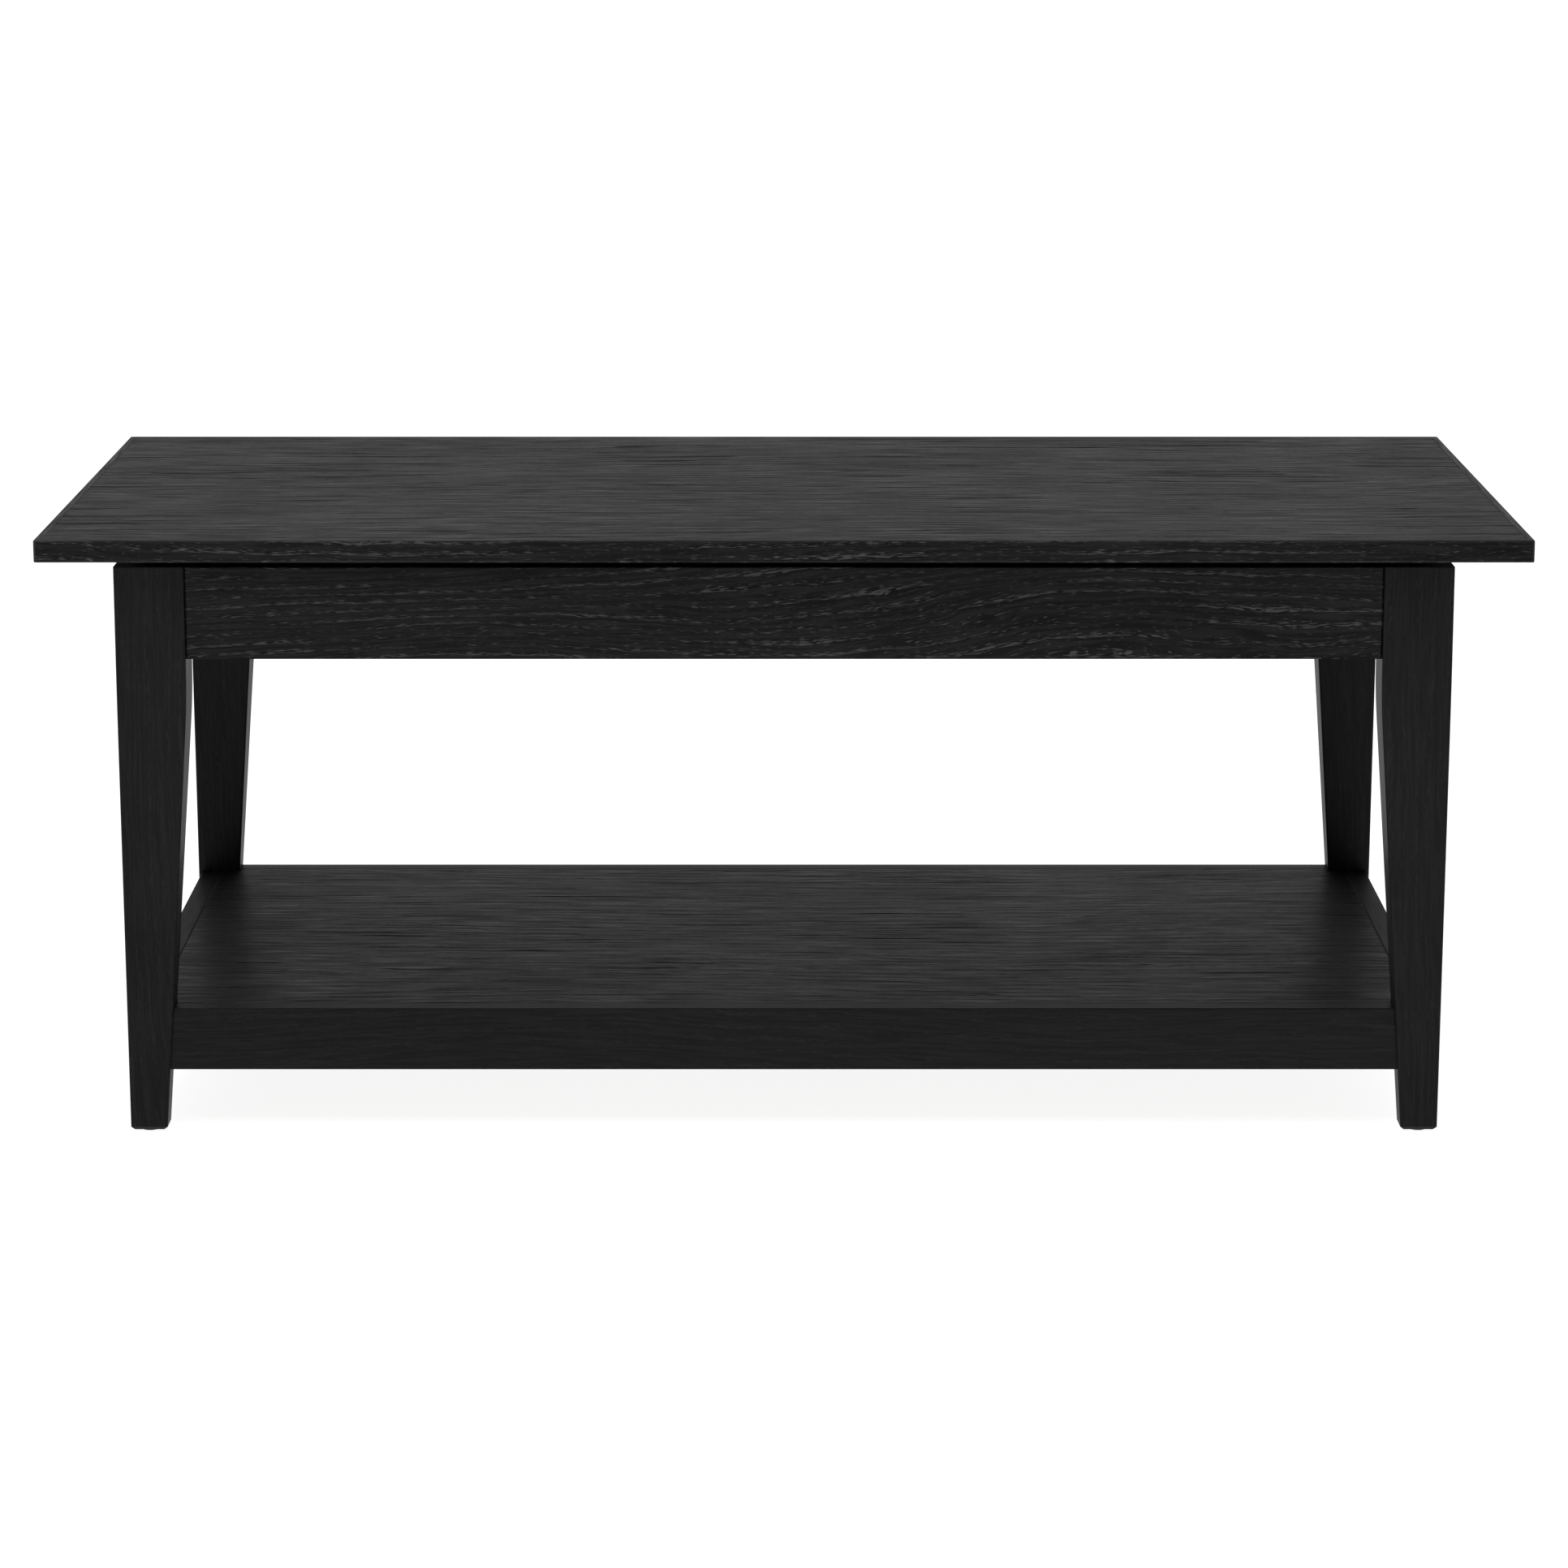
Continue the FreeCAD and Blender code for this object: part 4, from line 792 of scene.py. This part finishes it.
class TABLE_OT_stage(bpy.types.Operator):
    """Set the pale floor, the soft light and the camera"""
    bl_idname = "coffee_table.stage"
    bl_label = "Studio"

    def execute(self, context):
        studio = context.scene.coffee_studio
        floor = surface("studio_floor", floor_points(studio.floor_half), wrap_across=False)
        floor.data.materials.append(floor_paint(studio))
        light_room(context.scene, studio)
        hang_softbox(context.scene, studio)
        place_camera(context.scene, studio)
        context.scene.view_settings.view_transform = "Standard"
        return {"FINISHED"}


# the softbox's place: shares of half the width and half the depth, metres over the top
KEY_LEFT, KEY_FRONT, KEY_OVER = 0.8, 5.0, 2.1


def light_room(scene, studio):
    """Soft room light: walls that are brighter to the rear, and a dome that brightens with
    the square of the height; what the camera sees of it is the plain backdrop."""
    world = bpy.data.worlds.new("studio_room")
    world.use_nodes = True
    tree = world.node_tree
    background = next(node for node in tree.nodes if node.type == "BACKGROUND")
    direction = add(tree, "ShaderNodeTexCoord").outputs["Generated"]
    axes = add(tree, "ShaderNodeSeparateXYZ", {"Vector": direction})
    up = maths(tree, "MAXIMUM", axes.outputs[2], 0.0)
    dome = plus(tree, studio.horizon, maths(tree, "POWER", up, 2.0), studio.overhead)
    room = times(tree, dome, plus(tree, 1.0, axes.outputs[1], studio.rear_share))
    seen = add(tree, "ShaderNodeLightPath").outputs["Is Camera Ray"]
    unseen = maths(tree, "SUBTRACT", 1.0, seen)
    strength = plus(tree, times(tree, unseen, room), seen, studio.backdrop)
    tree.links.new(strength, background.inputs["Strength"])
    background.inputs["Color"].default_value = (1.0, 1.0, 1.0, 1.0)
    scene.world = world


def hang_softbox(scene, studio):
    """Square softbox above and in front of the table, aimed at its middle."""
    low, high = cad_box
    lamp = bpy.data.lights.new("overhead_softbox", "AREA")
    lamp.shape = "SQUARE"
    lamp.size = studio.key_size
    lamp.energy = studio.key_power
    softbox = bpy.data.objects.new("overhead_softbox", lamp)
    softbox.location = (low.x * KEY_LEFT, low.y * KEY_FRONT, high.z + KEY_OVER)
    aim = Vector((0.0, 0.0, high.z)) - softbox.location
    softbox.rotation_euler = aim.to_track_quat("-Z", "Y").to_euler()
    scene.collection.objects.link(softbox)


def place_camera(scene, studio):
    """Camera in front of the middle of the table, tilted down."""
    camera = bpy.data.objects.new("camera", bpy.data.cameras.new("camera"))
    camera.data.lens = studio.lens
    camera.location = (0.0, -studio.camera_back, studio.camera_height)
    camera.rotation_euler = (math.pi / 2.0 - studio.camera_tilt, 0.0, 0.0)
    scene.collection.objects.link(camera)
    scene.camera = camera


# ---- panel and registration ---------------------------------------------------------------
PIECE_OPERATORS = (TABLE_OT_top, TABLE_OT_base, TABLE_OT_hidden_wood, TABLE_OT_hardware,
                   TABLE_OT_springs, TABLE_OT_stage)
SETTINGS = {
    "coffee_oak": OakFinish,
    "coffee_hardware": HardwareFinish,
    "coffee_springs": SpringShape,
    "coffee_studio": StudioSet,
}


class TABLE_PT_panel(bpy.types.Panel):
    """Pieces and settings of the coffee table"""
    bl_idname = "TABLE_PT_panel"
    bl_label = "Coffee table"
    bl_space_type = "VIEW_3D"
    bl_region_type = "UI"
    bl_category = "Coffee table"

    def draw(self, context):
        for operator in PIECE_OPERATORS:
            self.layout.operator(operator.bl_idname)
        for name in SETTINGS:
            box = self.layout.box()
            settings = getattr(context.scene, name)
            for field in settings.__annotations__:
                box.prop(settings, field)


def register():
    for group in SETTINGS.values():
        bpy.utils.register_class(group)
    for operator in PIECE_OPERATORS:
        bpy.utils.register_class(operator)
    bpy.utils.register_class(TABLE_PT_panel)
    for name, group in SETTINGS.items():
        setattr(bpy.types.Scene, name, PointerProperty(type=group))


def unregister():
    for name in SETTINGS:
        delattr(bpy.types.Scene, name)
    bpy.utils.unregister_class(TABLE_PT_panel)
    for operator in reversed(PIECE_OPERATORS):
        bpy.utils.unregister_class(operator)
    for group in SETTINGS.values():
        bpy.utils.unregister_class(group)


def main():
    register()
    bpy.ops.coffee_table.top()
    bpy.ops.coffee_table.base()
    bpy.ops.coffee_table.hidden_wood()
    bpy.ops.coffee_table.hardware()
    bpy.ops.coffee_table.springs()
    bpy.ops.coffee_table.stage()


if __name__ == "__main__":
    main()
